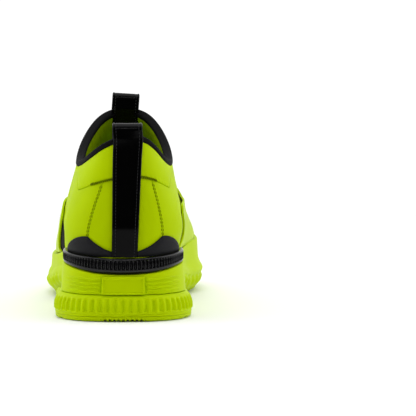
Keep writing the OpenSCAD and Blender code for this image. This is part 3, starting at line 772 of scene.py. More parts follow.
NEON_FOAM = (0.505, 0.685, 0.0)
NEON_CLOTH = (0.465, 0.645, 0.0)
NEON_FILM = (0.49, 0.67, 0.0)
BLACK = (0.004, 0.004, 0.0045)
KNIT_BLACK = (0.006, 0.006, 0.0065)
PATENT_BLACK = (0.0006, 0.0006, 0.0007)
THREAD_BLACK = (0.03, 0.03, 0.033)
CHARCOAL = (0.013, 0.013, 0.015)
PALE = (0.74, 0.72, 0.66)
FAINT = dict(Specular_IOR_Level=0.06, Specular_Tint=(1.0, 1.0, 0.1, 1.0))   # nearly no white glare on neon
DULL = dict(Specular_IOR_Level=0.12)
LOOKS = {
    "foam": moulded("neon_foam", NEON_FOAM, 0.50, 0.00003, **FAINT),
    "rubber": moulded("neon_rubber", shade(NEON_FOAM, 0.97), 0.46, 0.00004, **FAINT),
    "black_rubber": moulded("black_rubber", BLACK, 0.2, 0.00002, Specular_IOR_Level=0.32),
    "coated": woven("black_coated_textile", CHARCOAL, 0.62, 0.5, 0.00003, **DULL),
    "shell": woven("neon_stretch_textile", NEON_CLOTH, 0.60, 0.45, 0.00003, **FAINT),
    "pad": woven("neon_padded_textile", shade(NEON_CLOTH, 1.03), 0.58, 0.45, 0.00003, **FAINT),
    "lining": knitted("neon_lining_knit", shade(NEON_CLOTH, 0.9), 0.72, 0.8, 0.00005, **FAINT),
    "insole": woven("neon_insole_knit", shade(NEON_CLOTH, 0.9), 0.78, 0.9, 0.00006, **FAINT),
    "film": moulded("neon_welded_film", NEON_FILM, 0.40, 0.00002, **FAINT),
    "knit": knitted("black_knit", KNIT_BLACK, 0.78, 1.1, 0.00009, **DULL),
    "binding": knitted("black_binding", BLACK, 0.72, 0.7, 0.00006, Specular_IOR_Level=0.07),
    "patent": patent("black_patent_webbing", PATENT_BLACK, 0.16),
    "board": woven("pale_board", PALE, 0.85, 1.2, 0.00006),
    "stiffener": moulded("pale_stiffener", PALE, 0.55, 0.00004),
    "open_foam": moulded("pale_open_foam", shade(PALE, 1.1), 0.9, 0.00012),
    # Seam thread: the neon darkened to a quarter, painted shade of the seams the stitches sit in
    "thread_seam_shaded": woven("neon_thread_painted_shade", shade(NEON_CLOTH, 0.25), 0.6, 0.3, 0.00002, **FAINT),
    "thread_black": woven("black_thread", THREAD_BLACK, 0.45, 0.3, 0.00002, **DULL),
}

# The sole ----------------------------------------------------------------------------------------
FLUTE_PITCH = 4.6
FLUTE_DEPTH = 1.5
FLUTE_Z = (5.4, 14.4)
TEETH_PITCH = 2.7
TEETH_HALF_W = 13.2
TEETH_BACK = (16, 22)     # the teeth give way to the tread between these distances from the heel's end
TREAD_PITCH = 7.0
TREAD_DEPTH = 1.1
TREAD_SWAY = 2.4
TREAD_SWAY_W = 4.5
SERRATION_PITCH = 4.2
GROOVE_SHARE = (0.625, 0.68, 0.735, 0.79, 0.85)
GROOVE_W = 2.4
SOLE_GLUE = 0.15          # room for glue between the sole's parts


def wavy_tread(x, y, pitch):
    return groove((y + TREAD_SWAY * np.cos(x / TREAD_SWAY_W)) / pitch, 1.2)


def heel_tread(grid, ground):
    """Teeth under the heel's end, and a wavy tread in front of them."""
    x, y, z = grid[..., 0] - HEEL_MIDDLE_X, grid[..., 1] - SHIFT[1], grid[..., 2] - ground
    near_end = 1 - ramp(y, *TEETH_BACK)
    toothed = (1 - ramp(np.abs(x), TEETH_HALF_W - 1, TEETH_HALF_W + 1)) * near_end
    teeth = groove(x / TEETH_PITCH, 0.8) * toothed
    waves_on = wavy_tread(x, y, TREAD_PITCH) * (1 - near_end)
    return TREAD_DEPTH * np.maximum(teeth, waves_on) * (1 - ramp(z, 0.6, 1.8))


def forefoot_tread(grid, ground):
    """Wavy ribs between the flex grooves, and a serrated edge."""
    x, y, z = grid[..., 0], grid[..., 1] - SHIFT[1], grid[..., 2] - ground
    ribs = wavy_tread(x, y, TREAD_PITCH * 0.6)
    middles = [share * SHOE_L + GROOVE_W / 2 for share in GROOVE_SHARE]
    flex = np.max([np.exp(-((y - middle) / GROOVE_W * 1.7) ** 4) for middle in middles], axis=0)
    return np.maximum(0.8 * ribs, 1.5 * flex) * (1 - ramp(z, 0.5, 1.7))


def heel_outsole():
    u = sole_stations(0, BASE_U, 0.5)
    z = ground_z(share_at(u))
    wall = stand(u, [(2.4, z), (1.1, z + .4), (.6, z + 1.2), (.5, z + OUTSOLE_T * .7),
                     (.6, z + OUTSOLE_T - SOLE_GLUE)])
    sole_piece("outsole_heel", u, rounded(wall, 16), "rubber", 44, foot=heel_tread)


def forefoot_outsole():
    u = sole_stations(TOE, TOE - TREAD_U, 0.6)
    z = ground_z(share_at(u))
    wall = stand(u, [(12, z), (9, z + .4), (6.2, z + 1.4), (5, z + OUTSOLE_T * .7),
                     (4.5, z + OUTSOLE_T - SOLE_GLUE)])

    def serrations(u, arc, wall):
        return -0.8 * groove(arc / SERRATION_PITCH, 1.2) * ramp(wall[..., 2], -1, 0.4)

    sole_piece("outsole_forefoot", u, rounded(wall, 16), "rubber", 44, relief=serrations, foot=forefoot_tread)


def fluted_base():
    u = sole_stations(0, BASE_U, 0.4)
    t = share_at(u)
    z, top = ground_z(t) + OUTSOLE_T, split_z(t)
    wall = stand(u, [(0.5, z), (0.1, lerp(z, top, .14)), (0, lerp(z, top, .34)), (0.2, lerp(z, top, .52)),
                     (1.6, lerp(z, top, .82)), (3.7, top - .3), (5.5, top - SOLE_GLUE)])

    def flutes(u, arc, wall):
        z = wall[..., 2]
        rib = groove(arc / FLUTE_PITCH + 0.5, 0.7)
        low = FLUTE_Z[0] + 0.9 * (1 - rib)
        fade = 1 - ramp(side(u), 3.4, 4.3)
        zone = ramp(z, low - 0.25, low + 0.35) * (1 - ramp(z, FLUTE_Z[1] - 2.6, FLUTE_Z[1])) * fade
        line = np.exp(-((z - 4.6) / 0.35) ** 2) * 0.25
        return zone * (0.45 - FLUTE_DEPTH * (1 - rib)) - line

    sole_piece("heel_base", u, rounded(wall, 70), "foam", 8, relief=flutes)


RIDGE_Z = (17.8, 20.2, 22.6, 25.0)
RIDGE_H = 0.8
RIDGE_ENDS = (34, 52)     # the ridges fade out between these distances from the middle
SCALLOP_PITCH = 11.0
SCALLOP_H = 0.9
PLATE_LOW = BASE_H + 0.1
LAST_CLEAR = 0.3          # between the shell and the midsole's walls


def wall_heel(z0, z1):
    """[inset, z] rows up the midsole's wall at the heel, between heights z0 and z1."""
    return [(9, z0), (4.1, z0), (4.0, z0 + 1), (4.5, lerp(z0, z1, .4)), (5.0, lerp(z0, z1, .75)),
            (5.4, z1 - .2)]


def wall_ball(z0, z1):
    """The same rows at the ball."""
    return [(8, z0), (4.5, z0), (1.6, lerp(z0, z1, .14)), (0, lerp(z0, z1, .36)), (3.0, lerp(z0, z1, .58)),
            (3.6, z1 - .6)]


def foam_midsole():
    u = sole_stations(0, TOE, 0.55)
    t, s = share_at(u), side(u)
    v = np.maximum(0.005, lip_v(u))
    clear = SHELL[1] + LAST_CLEAR
    inner = on_last(u, v, np.full(u.shape, clear))
    seated = 1 - ramp(s, BAND_U + 0.15, BAND_U + 0.4)
    z0 = split_z(t)
    z1 = lerp(inner[:, 2], band_low(u) - SOLE_GLUE, seated)
    f = ramp(t, 0.34, 0.50)
    pairs = zip(wall_heel(z0, z1), wall_ball(z0, z1))
    rows = [(lerp(a[0], b[0], f), lerp(a[1], b[1], f)) for a, b in pairs]
    edge = rows[-1][0]
    rows += [(lerp(edge + .6, band_seat(u), seated), z1),
             (lerp(edge + .7, band_seat(u) + .1, seated), inner[:, 2])]
    top = [inner, on_last(u, v / 2, np.full(u.shape, clear)), on_last(u, 0 * u, np.full(u.shape, clear)),
           sole_pt(u, last_inset(s) - clear, foot_z(t))]
    wall = np.concatenate([stand(u, rows), np.stack(top, 1)], 1)
    foot_height = foot_z(t)[:, None]

    def sculpt(u, arc, wall):
        z = wall[..., 2]
        plate_half = PLATE_W / 2
        beside = ramp(np.abs(arc), plate_half + 1.2, plate_half + 2.2) * (1 - ramp(np.abs(arc), *RIDGE_ENDS))
        ridges = sum(np.exp(-((z - h - 0.02 * np.abs(arc)) / 0.42) ** 2) for h in RIDGE_Z)
        frame_line = np.exp(-((np.abs(arc) - plate_half - 0.9) / 0.35) ** 2) * ramp(z, 16.5, 17.5)
        frame_line = frame_line * (1 - ramp(z, 26, 27))
        out = np.ones_like(z) * (z < BAND_BACK + 1.5)
        heel = out * (RIDGE_H * ridges * beside - 0.6 * frame_line)
        # A moulded step along both sides of the forefoot
        ball = ramp(share_at(u), 0.40, 0.52)
        height = (z - split_z(share_at(u))) / (foot_height - split_z(share_at(u)))
        step = -0.7 * np.exp(-((height - 0.47) / 0.06) ** 2) + 0.5 * np.exp(-((height - 0.66) / 0.10) ** 2)
        scallops = np.cos(2 * math.pi * arc / SCALLOP_PITCH) * np.exp(-((height - 0.3) / 0.16) ** 2)
        return heel + ball * (step + SCALLOP_H * scallops) * (height < 1.1)

    sole_piece("midsole", u, rounded(wall, 130), "foam", 8, relief=sculpt, closed=True)


def swept(name, rings, look, body="shoe"):
    """A closed solid through closed sections, with its ends closed by strips."""
    rows, cols = rings.shape[:2]
    quads = np.concatenate([grid_quads(rows, cols, close_cols=True), end_strips(rows, cols)])
    uv = np.stack([arcs(rings, 0), arcs(rings, 1)], -1)
    return make_piece(name, rings.reshape(-1, 3), quads, look, uv.reshape(-1, 2), body=body)


RIB_PITCH = 2.6
RIB_DEPTH = 1.5
BAND_DEPTH = (3.2, 2.0)    # how far the band stands out, at the back and at the sides
BAND_SHAPE = [(0, 0), (.45, .0), (.8, .09), (.96, .2), (.93, .28), (.98, .38), (1.0, .5), (.99, .66),
              (.93, .84), (.95, .89), (.85, .96), (.5, 1.0), (0, 1.0)]    # shares out and up


def ribbed_band():
    u = sole_stations(0, BAND_U, 0.2)
    arc = outline_arc(u)
    z, h = band_low(u), band_tall(u)
    ends = np.minimum(1, (1 - np.abs(u) / BAND_U) * 30) ** 0.5
    depth = lerp(*BAND_DEPTH, ramp(side(u), 0, 2)) * lerp(0.35, 1, ends)
    shape = np.array([[(a, b, 0) for a, b in BAND_SHAPE]], float)
    for _ in range(2):
        shape = cut_corners(shape, 0.25)
    out, up, _ = resample(shape, 34)[0].T
    ribbed = ramp(up, 0.27, 0.33) * (1 - ramp(up, 0.80, 0.85)) * (out > 0.6)
    fade = ramp(BAND_U - np.abs(u), 0.05, 0.25)
    ribs = RIB_DEPTH * groove(arc / RIB_PITCH, 0.8)[:, None] * ribbed[None] * fade[:, None]
    inset = band_seat(u)[:, None] - SOLE_GLUE - depth[:, None] * out[None] + ribs
    squash = lerp(0.7, 1, ends)[:, None]
    height = z[:, None] + h[:, None] * (0.5 + (up[None] - 0.5) * squash)
    rings = sole_pt(np.broadcast_to(u[:, None], inset.shape), inset, height)
    stands_for(swept("heel_band", rings, "black_rubber"), "heel_band")


PLATE_BACK = (3.85, 4.35)     # the plate's back lies this far inside the sole's edge, low and high
PLATE_FACE = (4.1, 4.6)
PLATE_RISE = 1.5
PLATE_SUNK = 0.55


def framed_plate():
    """A plain plate with a raised frame, left blank."""
    half = PLATE_W / 2
    arc = (eased(90, 0.03) - 0.5) * PLATE_W
    fine = np.linspace(-1, 1, 400)
    length = arcs(outline(fine)[None], 1)[0]
    u = np.interp(arc + length[200], length, fine)
    g = eased(40, 0.06)
    A, G = np.meshgrid(arc, g, indexing="ij")
    depth = lerp(*PLATE_FACE, G)
    edge = np.minimum(half - np.abs(A), np.minimum(G, 1 - G) * PLATE_H)
    field = ramp(edge, 1.1, 1.5)
    grain = 0.05 * waves(A, G * PLATE_H, 3.0)
    rise = PLATE_RISE - edge_drop(edge, 0.5) - PLATE_SUNK * field + grain * field
    rise = np.maximum(rise, 0.05)
    height = PLATE_LOW + PLATE_H * G
    U = np.broadcast_to(u[:, None], A.shape)
    over = sole_pt(U, depth - rise, height)
    under = sole_pt(U, lerp(*PLATE_BACK, G), height)
    rings = np.concatenate([over, under[:, ::-1]], 1)
    stands_for(swept("heel_plate", rings, "foam"), "heel_plate")


heel_outsole()
forefoot_outsole()
fluted_base()
foam_midsole()
ribbed_band()
framed_plate()


# Inside the shoe ---------------------------------------------------------------------------------
def inner_slab(name, rows_at, look, step, count):
    u = sole_stations(0, TOE, step)
    return sole_piece(name, u, rounded(rows_at(u), count), look, 30, closed=True)


def board_rows(u):
    z, i = foot_z(share_at(u)), last_inset(side(u)) - SHELL[0]
    return stand(u, [(i, z + SOLE_GLUE), (i, z + 1), (i, z + INSOLE_SEAT - SOLE_GLUE)])


def sockliner_rows(u):
    z, i = foot_z(share_at(u)) + INSOLE_SEAT, last_inset(side(u)) + 0.6
    return stand(u, [(i, z), (i - .2, z + INSOLE_T * .5), (i + .3, z + INSOLE_T * .9),
                     (i + 1.4, z + INSOLE_T)])


inner_slab("strobel_board", board_rows, "board", 2.0, 8)
inner_slab("sockliner", sockliner_rows, "insole", 1.2, 12)

COUNTER_HALF_U = 3.0
COUNTER_V = (0.50, 0.34)    # the heel counter's top, in the middle and at its ends
FOAM_HALF_U = 3.6
FOAM_LOW_V = 0.60
PUFF_HALF_U = 2.0
PUFF_V = (0.36, 0.24)
INSIDE_GAP_V = 0.02         # from the stiffeners to the last's foot, and from the foam to the binding


def lining_edges(f):
    u = f * STATIONS
    return (u, 0 * f), (u, panel_top(u))


def stiffener_edges(middle, half, top):
    """Edges of a stiffener that reaches half stations either side of middle, highest in the middle."""
    def edges(f):
        u = lerp(middle - half, middle + half, f)
        return (u, INSIDE_GAP_V + 0 * f), (u, lerp(*top, (np.abs(u - middle) / half) ** 2))
    return edges


def foam_edges(f):
    u = lerp(-FOAM_HALF_U, FOAM_HALF_U, f)
    return (u, FOAM_LOW_V + 0 * f), (u, panel_top(u) - INSIDE_GAP_V)


panel("lining", lining_edges, LINING, (360, 90), "lining", closed=True, radius=0.3)
panel("heel_counter", stiffener_edges(0, COUNTER_HALF_U, COUNTER_V), STIFFENER, (60, 20), "stiffener")
panel("collar_foam", foam_edges, STIFFENER, (90, 20), "open_foam")
panel("toe_puff", stiffener_edges(TOE, PUFF_HALF_U, PUFF_V), STIFFENER, (60, 20), "stiffener")


# The upper ---------------------------------------------------------------------------------------
def cloth_relief(amount, size):
    return lambda at: amount * waves(at["along"], at["across"], size) * ramp(at["edge"], 0.5, 6)


def heel_panel_edges(f):
    v = lerp(0, PAD_LOW - SEAM_GAP_V, f)
    return (heel_seam(v, 1) - SEAM_GAP_U, v), (SEAM_GAP_U - heel_seam(v, -1), v)


def quarter_edges(hand):
    def edges(f):
        low = lerp(heel_seam(0, hand) + SEAM_GAP_U, QUARTER_LOW_U, f)
        high = lerp(heel_seam(PAD_LOW, hand) + SEAM_GAP_U, QUARTER_HIGH_U, f ** 0.9)
        v = np.minimum(panel_top(high), pad_edge(high) - SEAM_GAP_V)
        return ((low, 0 * f), (high, v)) if hand > 0 else ((-high, v), (-low, 0 * f))
    return edges


def bow_at(g):
    """How far the quarter's front edge bows back, most at a third of its height."""
    return QUARTER_BOW * np.sin(math.pi * np.clip(g, 0, 1) ** 0.6) ** 3


def quarter(name, hand):
    def bow(f, g):
        return -hand * f ** 3 * bow_at(g if hand > 0 else 1 - g)
    panel(name, quarter_edges(hand), SHELL, (200, 130), "shell", cloth_relief(0.18, 14), bow, radius=0.6)


def pad_edges(f):
    u = lerp(-PAD_U, PAD_U, f) * 0.985
    return (u, pad_edge(np.abs(u))), (u, panel_top(u))


def half_wave(share, power):
    """Rises from 0 to 1 in the middle and falls back; a low power makes it fuller."""
    return np.sin(math.pi * np.clip(share, 0, 1)) ** power


def pad_relief(at):
    """The pad's crown, puckers along its lower seam, and soft unevenness."""
    crown = PAD_CROWN * half_wave(at["g"], 0.7) * half_wave(at["f"], 0.4)
    puckers = 0.10 * np.sin(at["along"] * 2.2) * (1 - ramp(at["across"], 0.5, 4))
    return crown + puckers + 0.12 * waves(at["along"], at["across"], 9)


def knit_bow(f, g):
    return (f ** 6 - (1 - f) ** 6) * bow_at(g)


def knit_edges(f):
    low = lerp(QUARTER_LOW_U + KNIT_GAP_U, STATIONS - QUARTER_LOW_U - KNIT_GAP_U, f)
    high = lerp(QUARTER_HIGH_U + KNIT_GAP_U, STATIONS - QUARTER_HIGH_U - KNIT_GAP_U, f)
    return (low, 0 * f), (high, panel_top(high))


def cap_edges(f):
    d = lerp(-1, 1, f)
    u = TOE + CAP_HALF_U * d
    return (u, above_lip(u)), (u, .45 - .17 * np.abs(d) ** 2.2)


def wing_edges(hand):
    def edges(f):
        s = lerp(*WING_U, f)
        u = s if hand > 0 else STATIONS - s
        low = above_lip(u)
        peak = u + hand * (.08 + .25 * np.sin(math.pi * f))
        high = low + .03 + .14 * np.sin(math.pi * f ** .8)
        return ((u, low), (peak, high)) if hand > 0 else ((peak, high), (u, low))
    return edges


def strap_edges(hand):
    k = 0 if hand > 0 else 1
    foot_at = [(s, float(above_lip(np.array(s if hand > 0 else STATIONS - s, float)))) for s in STRAP_FOOT[k]]
    back, front = np.array([foot_at[0]] + STRAP_BACK[k]), np.array([foot_at[1]] + STRAP_FRONT[k])

    def edges(f):
        b, c = open_at(back, f), open_at(front, f)
        if hand > 0:
            return (c[:, 0], c[:, 1]), (b[:, 0], b[:, 1])
        return (STATIONS - b[:, 0], b[:, 1]), (STATIONS - c[:, 0], c[:, 1])
    return edges


def rolled_edge(at):
    """A welded overlay: a raised bead along its edge and a faint line beside it."""
    bead = np.exp(-((at["edge"] - 1.2) / 0.5) ** 2)
    line = np.exp(-((at["edge"] - 2.6) / 0.35) ** 2)
    return EDGE_BEAD * (bead - line)


def strap(name, hand, raised):
    def layer(f, g):
        d = STRAP_FLOAT + raised * ramp(f, 0.5, 0.66)
        return OVERLAY[0] + d, OVERLAY[1] + d
    panel(name, strap_edges(hand), layer, (220, 40), "film", rolled_edge, radius=0.5)


def guard_edges(f):
    u = lerp(-GUARD_END_U, GUARD_END_U, f)
    z = band_top(u)
    return (u, level(u, z + 0.25)), (u, level(u, z + guard_up(u)))


def guard_relief(at):
    return 0.55 * ramp(at["edge"], 0, 3.2) - 0.1 * np.exp(-((at["edge"] - 1.3) / 0.25) ** 2)


panel("heel_panel", heel_panel_edges, SHELL, (120, 80), "shell", cloth_relief(0.12, 11), radius=0.6)
quarter("quarter_lateral", 1)
quarter("quarter_medial", -1)
panel("ankle_pad", pad_edges, SHELL, (260, 46), "pad", pad_relief, radius=0.9)
panel("vamp_knit", knit_edges, SHELL, (300, 150), "knit", cloth_relief(0.2, 16), knit_bow, radius=0.5)
panel("toe_cap", cap_edges, OVERLAY, (160, 40), "film", rolled_edge)
panel("forefoot_wing_lateral", wing_edges(1), OVERLAY, (90, 36), "film", rolled_edge)
panel("forefoot_wing_medial", wing_edges(-1), OVERLAY, (90, 36), "film", rolled_edge)
strap("cross_strap_lateral", 1, 0)
strap("cross_strap_medial", -1, OVERLAY_T + LAYER_GAP + STRAP_CLEAR)
panel("heel_mudguard", guard_edges, (OVERLAY[0], OVERLAY[0] + GUARD_T), (200, 34), "coated", guard_relief,
      radius=0.7)


# The collar's binding, a folded tape round the rim -----------------------------------------------
BINDING_SQUARE = 0.62     # below 1 the tape's section is squarer than an ellipse
BINDING_PUCKERS = 150


def rim_binding():
    u = np.linspace(0, STATIONS, 421)
    turn = np.radians(np.linspace(0, 360, 37)[:-1])
    rim, foot = last(u, np.ones_like(u)), last(u, panel_top(u) - 0.006)
    up = unit(rim - foot)
    out = last_normal(u, np.ones_like(u))
    out = unit(out - up * np.sum(out * up, -1, keepdims=True))
    reach = np.linalg.norm(rim - foot, axis=-1)
    centre = (rim + foot) / 2 + up * 0.15 + out * (SHELL[1] / 2)
    half_t, half_h = SHELL[1] / 2 + 0.7, reach / 2 + 0.2
    a, b = (np.sign(x) * np.abs(x) ** BINDING_SQUARE for x in (np.cos(turn), np.sin(turn)))
    a = a * half_t
    pucker = 1 + 0.02 * np.sin(np.linspace(0, 2 * math.pi * BINDING_PUCKERS, len(u)))
    rings = centre[:, None] + out[:, None] * a[None, :, None] * pucker[:, None, None]
    rings = rings + up[:, None] * (b[None, :] * half_h[:, None])[..., None]
    rows, cols = rings.shape[:2]
    quads = wrap_rows(grid_quads(rows, cols, close_cols=True), rows, cols)
    uv = np.stack([arcs(rings, 0), arcs(rings, 1)], -1).reshape(-1, 2)
    obj = make_piece("collar_binding", rings.reshape(-1, 3), quads, "binding", uv)
    stands_for(obj, "collar_binding")


rim_binding()

# Webbing -----------------------------------------------------------------------------------------
STRAP_LOW_U = -0.03
STRAP_TOP_U = -0.11
STRAP_TOP_V = 0.965
LEG_GAP = SHELL[1] / 2 + 1.4
LOOP_CLEAR = 1.6
HEEL_TAIL_V = 0.80
FRONT_TAIL_V = 0.86
FRONT_TAB_V = (0.885, 0.95)
TAIL_GAP = 0.3
FRONT_TILT = math.radians(3.5)
FRONT_FOLD = 2.6
HEEL_FOLD = LEG_GAP - 0.2
GUARD_CLEAR = 0.3         # the strap passes this far over the mudguard
STITCH_IN = 2.1           # the stitches run this far inside the webbing's edges


def strap_off(v):
    """How far off the last the heel strap runs: over the mudguard, then low, then out to its loop."""
    return (OVERLAY[0] + (GUARD_T + GUARD_CLEAR) * (1 - ramp(v, .22, .34))
            + (SHELL[1] / 2 + LEG_GAP - OVERLAY[0]) * ramp(v, .58, .80))


def webbing_section(width):
    """[across, out] points round the webbing, with a bead along each edge and a stitched channel."""
    half, t = width / 2, WEBBING_T
    across = np.concatenate([np.linspace(-half, half, 61), np.linspace(half, -half, 61)[1:-1]])
    side_in = half - np.abs(across)
    bead = 0.30 * np.exp(-((side_in - 0.75) / 0.42) ** 2)
    channel = -0.22 * np.exp(-((side_in - STITCH_IN) / 0.35) ** 2)
    profile = t / 2 - edge_drop(side_in, t / 2) + bead + channel
    sign = np.concatenate([np.ones(61), -np.ones(59)])
    return np.stack([across, profile * sign], -1)


def smooth_path(points, normals, widths, step=0.35):
    d = arcs(points[None], 1)[0]
    at = np.linspace(0, d[-1], int(d[-1] / step))
    return sampled(points, at, d), unit(sampled(normals, at, d)), np.interp(at, d, widths)


def blur(rows, radius):
    kernel = np.hanning(2 * radius + 3)[1:-1]
    kernel = kernel / kernel.sum()
    padded = np.concatenate([np.repeat(rows[:1], radius, 0), rows, np.repeat(rows[-1:], radius, 0)])
    return np.stack([np.convolve(padded[:, k], kernel, "valid") for k in range(rows.shape[1])], -1)


def webbing(name, points, normals, widths, nodes, look):
    """A strip of patent webbing swept round its loop, and its two rows of stitches."""
    points, normals, widths = smooth_path(points, normals, widths)
    points = blur(points, 3)
    tangent = unit(np.gradient(points, axis=0))
    across = unit(np.cross(tangent, normals))
    if across[:, 0].mean() < 0:
        across = -across
    out = unit(np.cross(across, tangent))
    if (out * normals).sum() < 0:
        out = -out
    sections = np.stack([webbing_section(w) for w in widths])
    rings = points[:, None] + across[:, None] * sections[..., :1] + out[:, None] * sections[..., 1:]
    obj = swept(name, rings, look, body=None)
    stands_for(obj, *nodes)
    lines = []
    for hand in (-1, 1):
        line = points + across * (hand * (widths / 2 - STITCH_IN))[:, None] + out * (WEBBING_T / 2 - 0.1)
        lines.append((line, out))
    thread = stitched(name + "_stitching", lines, "thread_black", pitch=1.9, length=1.35,
                      radius=0.2, body=None)
    for piece in (obj, thread):
        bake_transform(piece)


def arch(centre, half, rise, width_axis, count=17):
    """Points and outward normals over a fold, from the outer leg to the inner one."""
    a = np.radians(np.linspace(180, 0, count))
    up = np.cross(width_axis, [0, 1, 0])
    up = up * np.sign(up[2])
    n = np.outer(np.cos(a), [0, 1, 0]) + np.outer(np.sin(a), up)
    return centre + up * rise + n * half, n


def rim_middle(u):
    """The middle of the shell's rim at station u."""
    return on_last(np.array(float(u)), np.array(1.0), np.array(SHELL[1] / 2))


def heel_webbing():
    low_v = float(level(np.array(0.0), band_top(np.array(0.0)))) + 0.02
    v = np.linspace(low_v, STRAP_TOP_V, 60)
    u = lerp(STRAP_LOW_U, STRAP_TOP_U, (v - low_v) / (STRAP_TOP_V - low_v))
    outer = on_last(u, v, strap_off(v) + WEBBING_T / 2)
    outer_n = last_normal(u, v)
    x = float(last(np.array(STRAP_TOP_U), np.array(1.0))[0])
    y = float(rim_middle(0)[1])
    centre = np.array([x, y, RIM_HEEL_Z])
    half = HEEL_FOLD + WEBBING_T / 2
    over, over_n = arch(centre, half, HEEL_LOOP_H - HEEL_FOLD - WEBBING_T, np.array([1, 0, 0]))
    tail_v = np.linspace(panel_top(0.0), HEEL_TAIL_V, 20)
    tail_u = np.full(tail_v.shape, STRAP_TOP_U)
    inner = on_last(tail_u, tail_v, np.full(tail_v.shape, -WEBBING_T / 2 - TAIL_GAP))
    points = np.concatenate([outer, over, inner])
    normals = np.concatenate([outer_n, over_n, -last_normal(tail_u, tail_v)])
    widths = np.concatenate([lerp(STRAP_LOW_W, STRAP_TOP_W, np.linspace(0, 1, 60)),
                             np.full(len(over) + len(inner), STRAP_TOP_W)])
    webbing("heel_strap_webbing", points, normals, widths, ["heel_strap", "heel_loop", "heel_loop_tail"],
            "patent")


def front_webbing():
    centre = np.array([FRONT_X, float(rim_middle(TOE)[1]), RIM_FRONT_Z])
    width_axis = np.array([math.cos(FRONT_TILT), 0, -math.sin(FRONT_TILT)])
    tab_v = np.linspace(*FRONT_TAB_V, 12)
    tab_u = np.full(tab_v.shape, float(TOE))
    tab_off = OVERLAY[0] + 3 * STRAP_FLOAT + WEBBING_T / 2
    outer = on_last(tab_u, tab_v, np.full(tab_v.shape, tab_off))
    outer_n = last_normal(tab_u, tab_v)
    half = FRONT_FOLD + WEBBING_T / 2
    over, over_n = arch(centre, half, FRONT_LOOP_H - FRONT_FOLD - WEBBING_T, width_axis)
    over, over_n = over[::-1], over_n[::-1]
    leg_out = centre + np.array([0, LEG_GAP + WEBBING_T / 2, LOOP_CLEAR])
    leg_in = centre + np.array([0, -LEG_GAP - WEBBING_T / 2, LOOP_CLEAR])
    tail_v = np.linspace(panel_top(float(TOE)), FRONT_TAIL_V, 24)
    tail_u = np.full(tail_v.shape, float(TOE))
    inner = on_last(tail_u, tail_v, np.full(tail_v.shape, -WEBBING_T / 2 - TAIL_GAP))
    points = np.concatenate([outer, [leg_out], over, [leg_in], inner])
    inner_n = -last_normal(tail_u, tail_v)
    normals = np.concatenate([outer_n, [[0, 1, 0]], over_n, [[0, -1, 0]], inner_n])
    widths = np.full(len(points), FRONT_LOOP_W)
    webbing("front_loop_webbing", points, normals, widths,
            ["front_loop", "front_loop_tail", "front_loop_tab"], "patent")


heel_webbing()
front_webbing()


# Stitching ---------------------------------------------------------------------------------------
SEAM_ROWS_U = (-0.035, 0.035)    # a row of stitches on each side of the heel panel's seams
ZIGZAG_U = (0.24, 1.05)
ZIGZAG_POINTS = 27
ZIGZAG_SWING_V = 0.016


def seam_stitches():
    v = np.linspace(0.20, PAD_LOW - 0.02, 60)
    lines = []
    for hand in (-1, 1):
        for shift in SEAM_ROWS_U:
            lines.append(seam_path(hand * (heel_seam(v, hand) + shift), v, SHELL[1] + 0.02))
    # The stitches' dark neon is painted shade of the seam
    stitched("heel_panel_stitching", lines, "thread_seam_shaded", pitch=2.3, length=1.6, radius=0.2)
    zigzags = []
    turns = np.arange(ZIGZAG_POINTS)
    fine = np.linspace(0, ZIGZAG_POINTS - 1, 400)
    s = np.linspace(*ZIGZAG_U, ZIGZAG_POINTS)
    swing = np.where(turns % 2, ZIGZAG_SWING_V, -ZIGZAG_SWING_V)
    for hand in (-1, 1):
        points, normals = seam_path(hand * s, pad_edge(s) + swing, SHELL[1] + 0.5)
        zigzags.append((sampled(points, fine, turns), unit(sampled(normals, fine, turns))))
    stitched("ankle_pad_zigzag", zigzags, "thread_seam_shaded", pitch=1.5, length=1.3, radius=0.3)


seam_stitches()


# Studio ------------------------------------------------------------------------------------------
WORLD_AROUND = 1.08
WORLD_BEHIND = 0.06
WORLD_FADE = (-0.75, 0.05)    # between these values of a direction's y
CAMERA_BACK = 1500.0
CAMERA_Z = 168.3
CAMERA_LENS = 218.4
CAMERA_SENSOR = 36
CAMERA_YAW = 1.93
CAMERA_PITCH = 3.81
FLOOR_HALF_W = 2.0
FLOOR_NEAR = -0.75
FLOOR_FAR = 0.8
SOFTBOXES = [    # name, place, target and size in metres, and watts
    ("softbox_top", (0, -0.1, 1.5), (0, 0, 0.05), (1.6, 1.2), 9),
    ("softbox_strip", (0.0, -1.2, 1.0), (0, -0.14, 0.08), (0.6, 0.05), 1.6),
    ("softbox_left", (-1.3, 0.0, 0.7), (0, -0.1, 0.06), (1.0, 1.1), 3),
    ("softbox_right", (1.3, 0.0, 0.7), (0, -0.1, 0.06), (1.0, 1.1), 2.6),
]


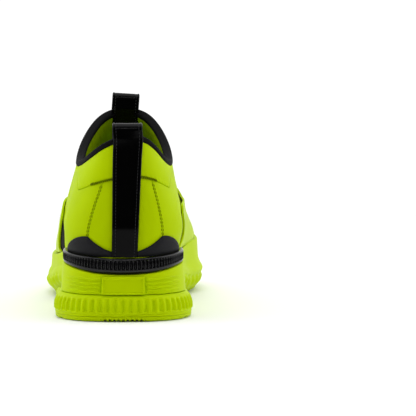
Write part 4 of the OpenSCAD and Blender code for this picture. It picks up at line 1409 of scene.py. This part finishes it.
def plain_floor():
    look = Look("studio_floor", 0.9, Specular_IOR_Level=0.1)
    look.colours(look.noise(3), (0.94, 0.94, 0.94), (0.95, 0.95, 0.95))
    mesh = bpy.data.meshes.new("studio_floor")
    corners = [(-FLOOR_HALF_W, FLOOR_NEAR, 0), (FLOOR_HALF_W, FLOOR_NEAR, 0), (FLOOR_HALF_W, FLOOR_FAR, 0),
               (-FLOOR_HALF_W, FLOOR_FAR, 0)]
    mesh.from_pydata(corners, [], [(0, 1, 2, 3)])
    mesh.materials.append(look.material)
    obj = bpy.data.objects.new("studio_floor", mesh)
    bpy.context.scene.collection.objects.link(obj)


def softbox(name, place, target, size, watts):
    data = bpy.data.lights.new(name, "AREA")
    data.shape = "RECTANGLE"
    data.size, data.size_y = size
    data.energy = watts
    obj = bpy.data.objects.new(name, data)
    obj.location = place
    obj.rotation_euler = (Vector(target) - Vector(place)).to_track_quat("-Z", "Y").to_euler()
    bpy.context.scene.collection.objects.link(obj)


def studio_world():
    """White all round, and dark behind the camera so that glossy black stays black."""
    world = bpy.data.worlds.new("studio")
    bpy.context.scene.world = world
    world.use_nodes = True
    tree = world.node_tree
    background = tree.nodes["Background"]
    direction = tree.nodes.new("ShaderNodeTexCoord")
    split = tree.nodes.new("ShaderNodeSeparateXYZ")
    fade = tree.nodes.new("ShaderNodeMapRange")
    fade.interpolation_type = "SMOOTHSTEP"
    fade.inputs["From Min"].default_value, fade.inputs["From Max"].default_value = WORLD_FADE
    fade.inputs["To Min"].default_value = WORLD_BEHIND
    fade.inputs["To Max"].default_value = WORLD_AROUND
    tree.links.new(direction.outputs["Generated"], split.inputs[0])
    tree.links.new(split.outputs["Y"], fade.inputs["Value"])
    tree.links.new(fade.outputs["Result"], background.inputs["Strength"])
    background.inputs["Color"].default_value = (1, 1, 1, 1)


def studio_camera():
    data = bpy.data.cameras.new("camera")
    data.lens = CAMERA_LENS
    data.sensor_width = CAMERA_SENSOR
    data.clip_start = 0.05
    data.clip_end = 50
    obj = bpy.data.objects.new("camera", data)
    obj.location = Vector((HEEL_MIDDLE_X, SHIFT[1] - CAMERA_BACK, CAMERA_Z)) * MM
    obj.rotation_euler = (math.radians(90 - CAMERA_PITCH), 0, math.radians(-CAMERA_YAW))
    bpy.context.scene.collection.objects.link(obj)
    bpy.context.scene.camera = obj


plain_floor()
studio_world()
for light in SOFTBOXES:
    softbox(*light)
studio_camera()
bpy.context.scene.view_settings.view_transform = "Standard"
bpy.context.scene.view_settings.look = "None"
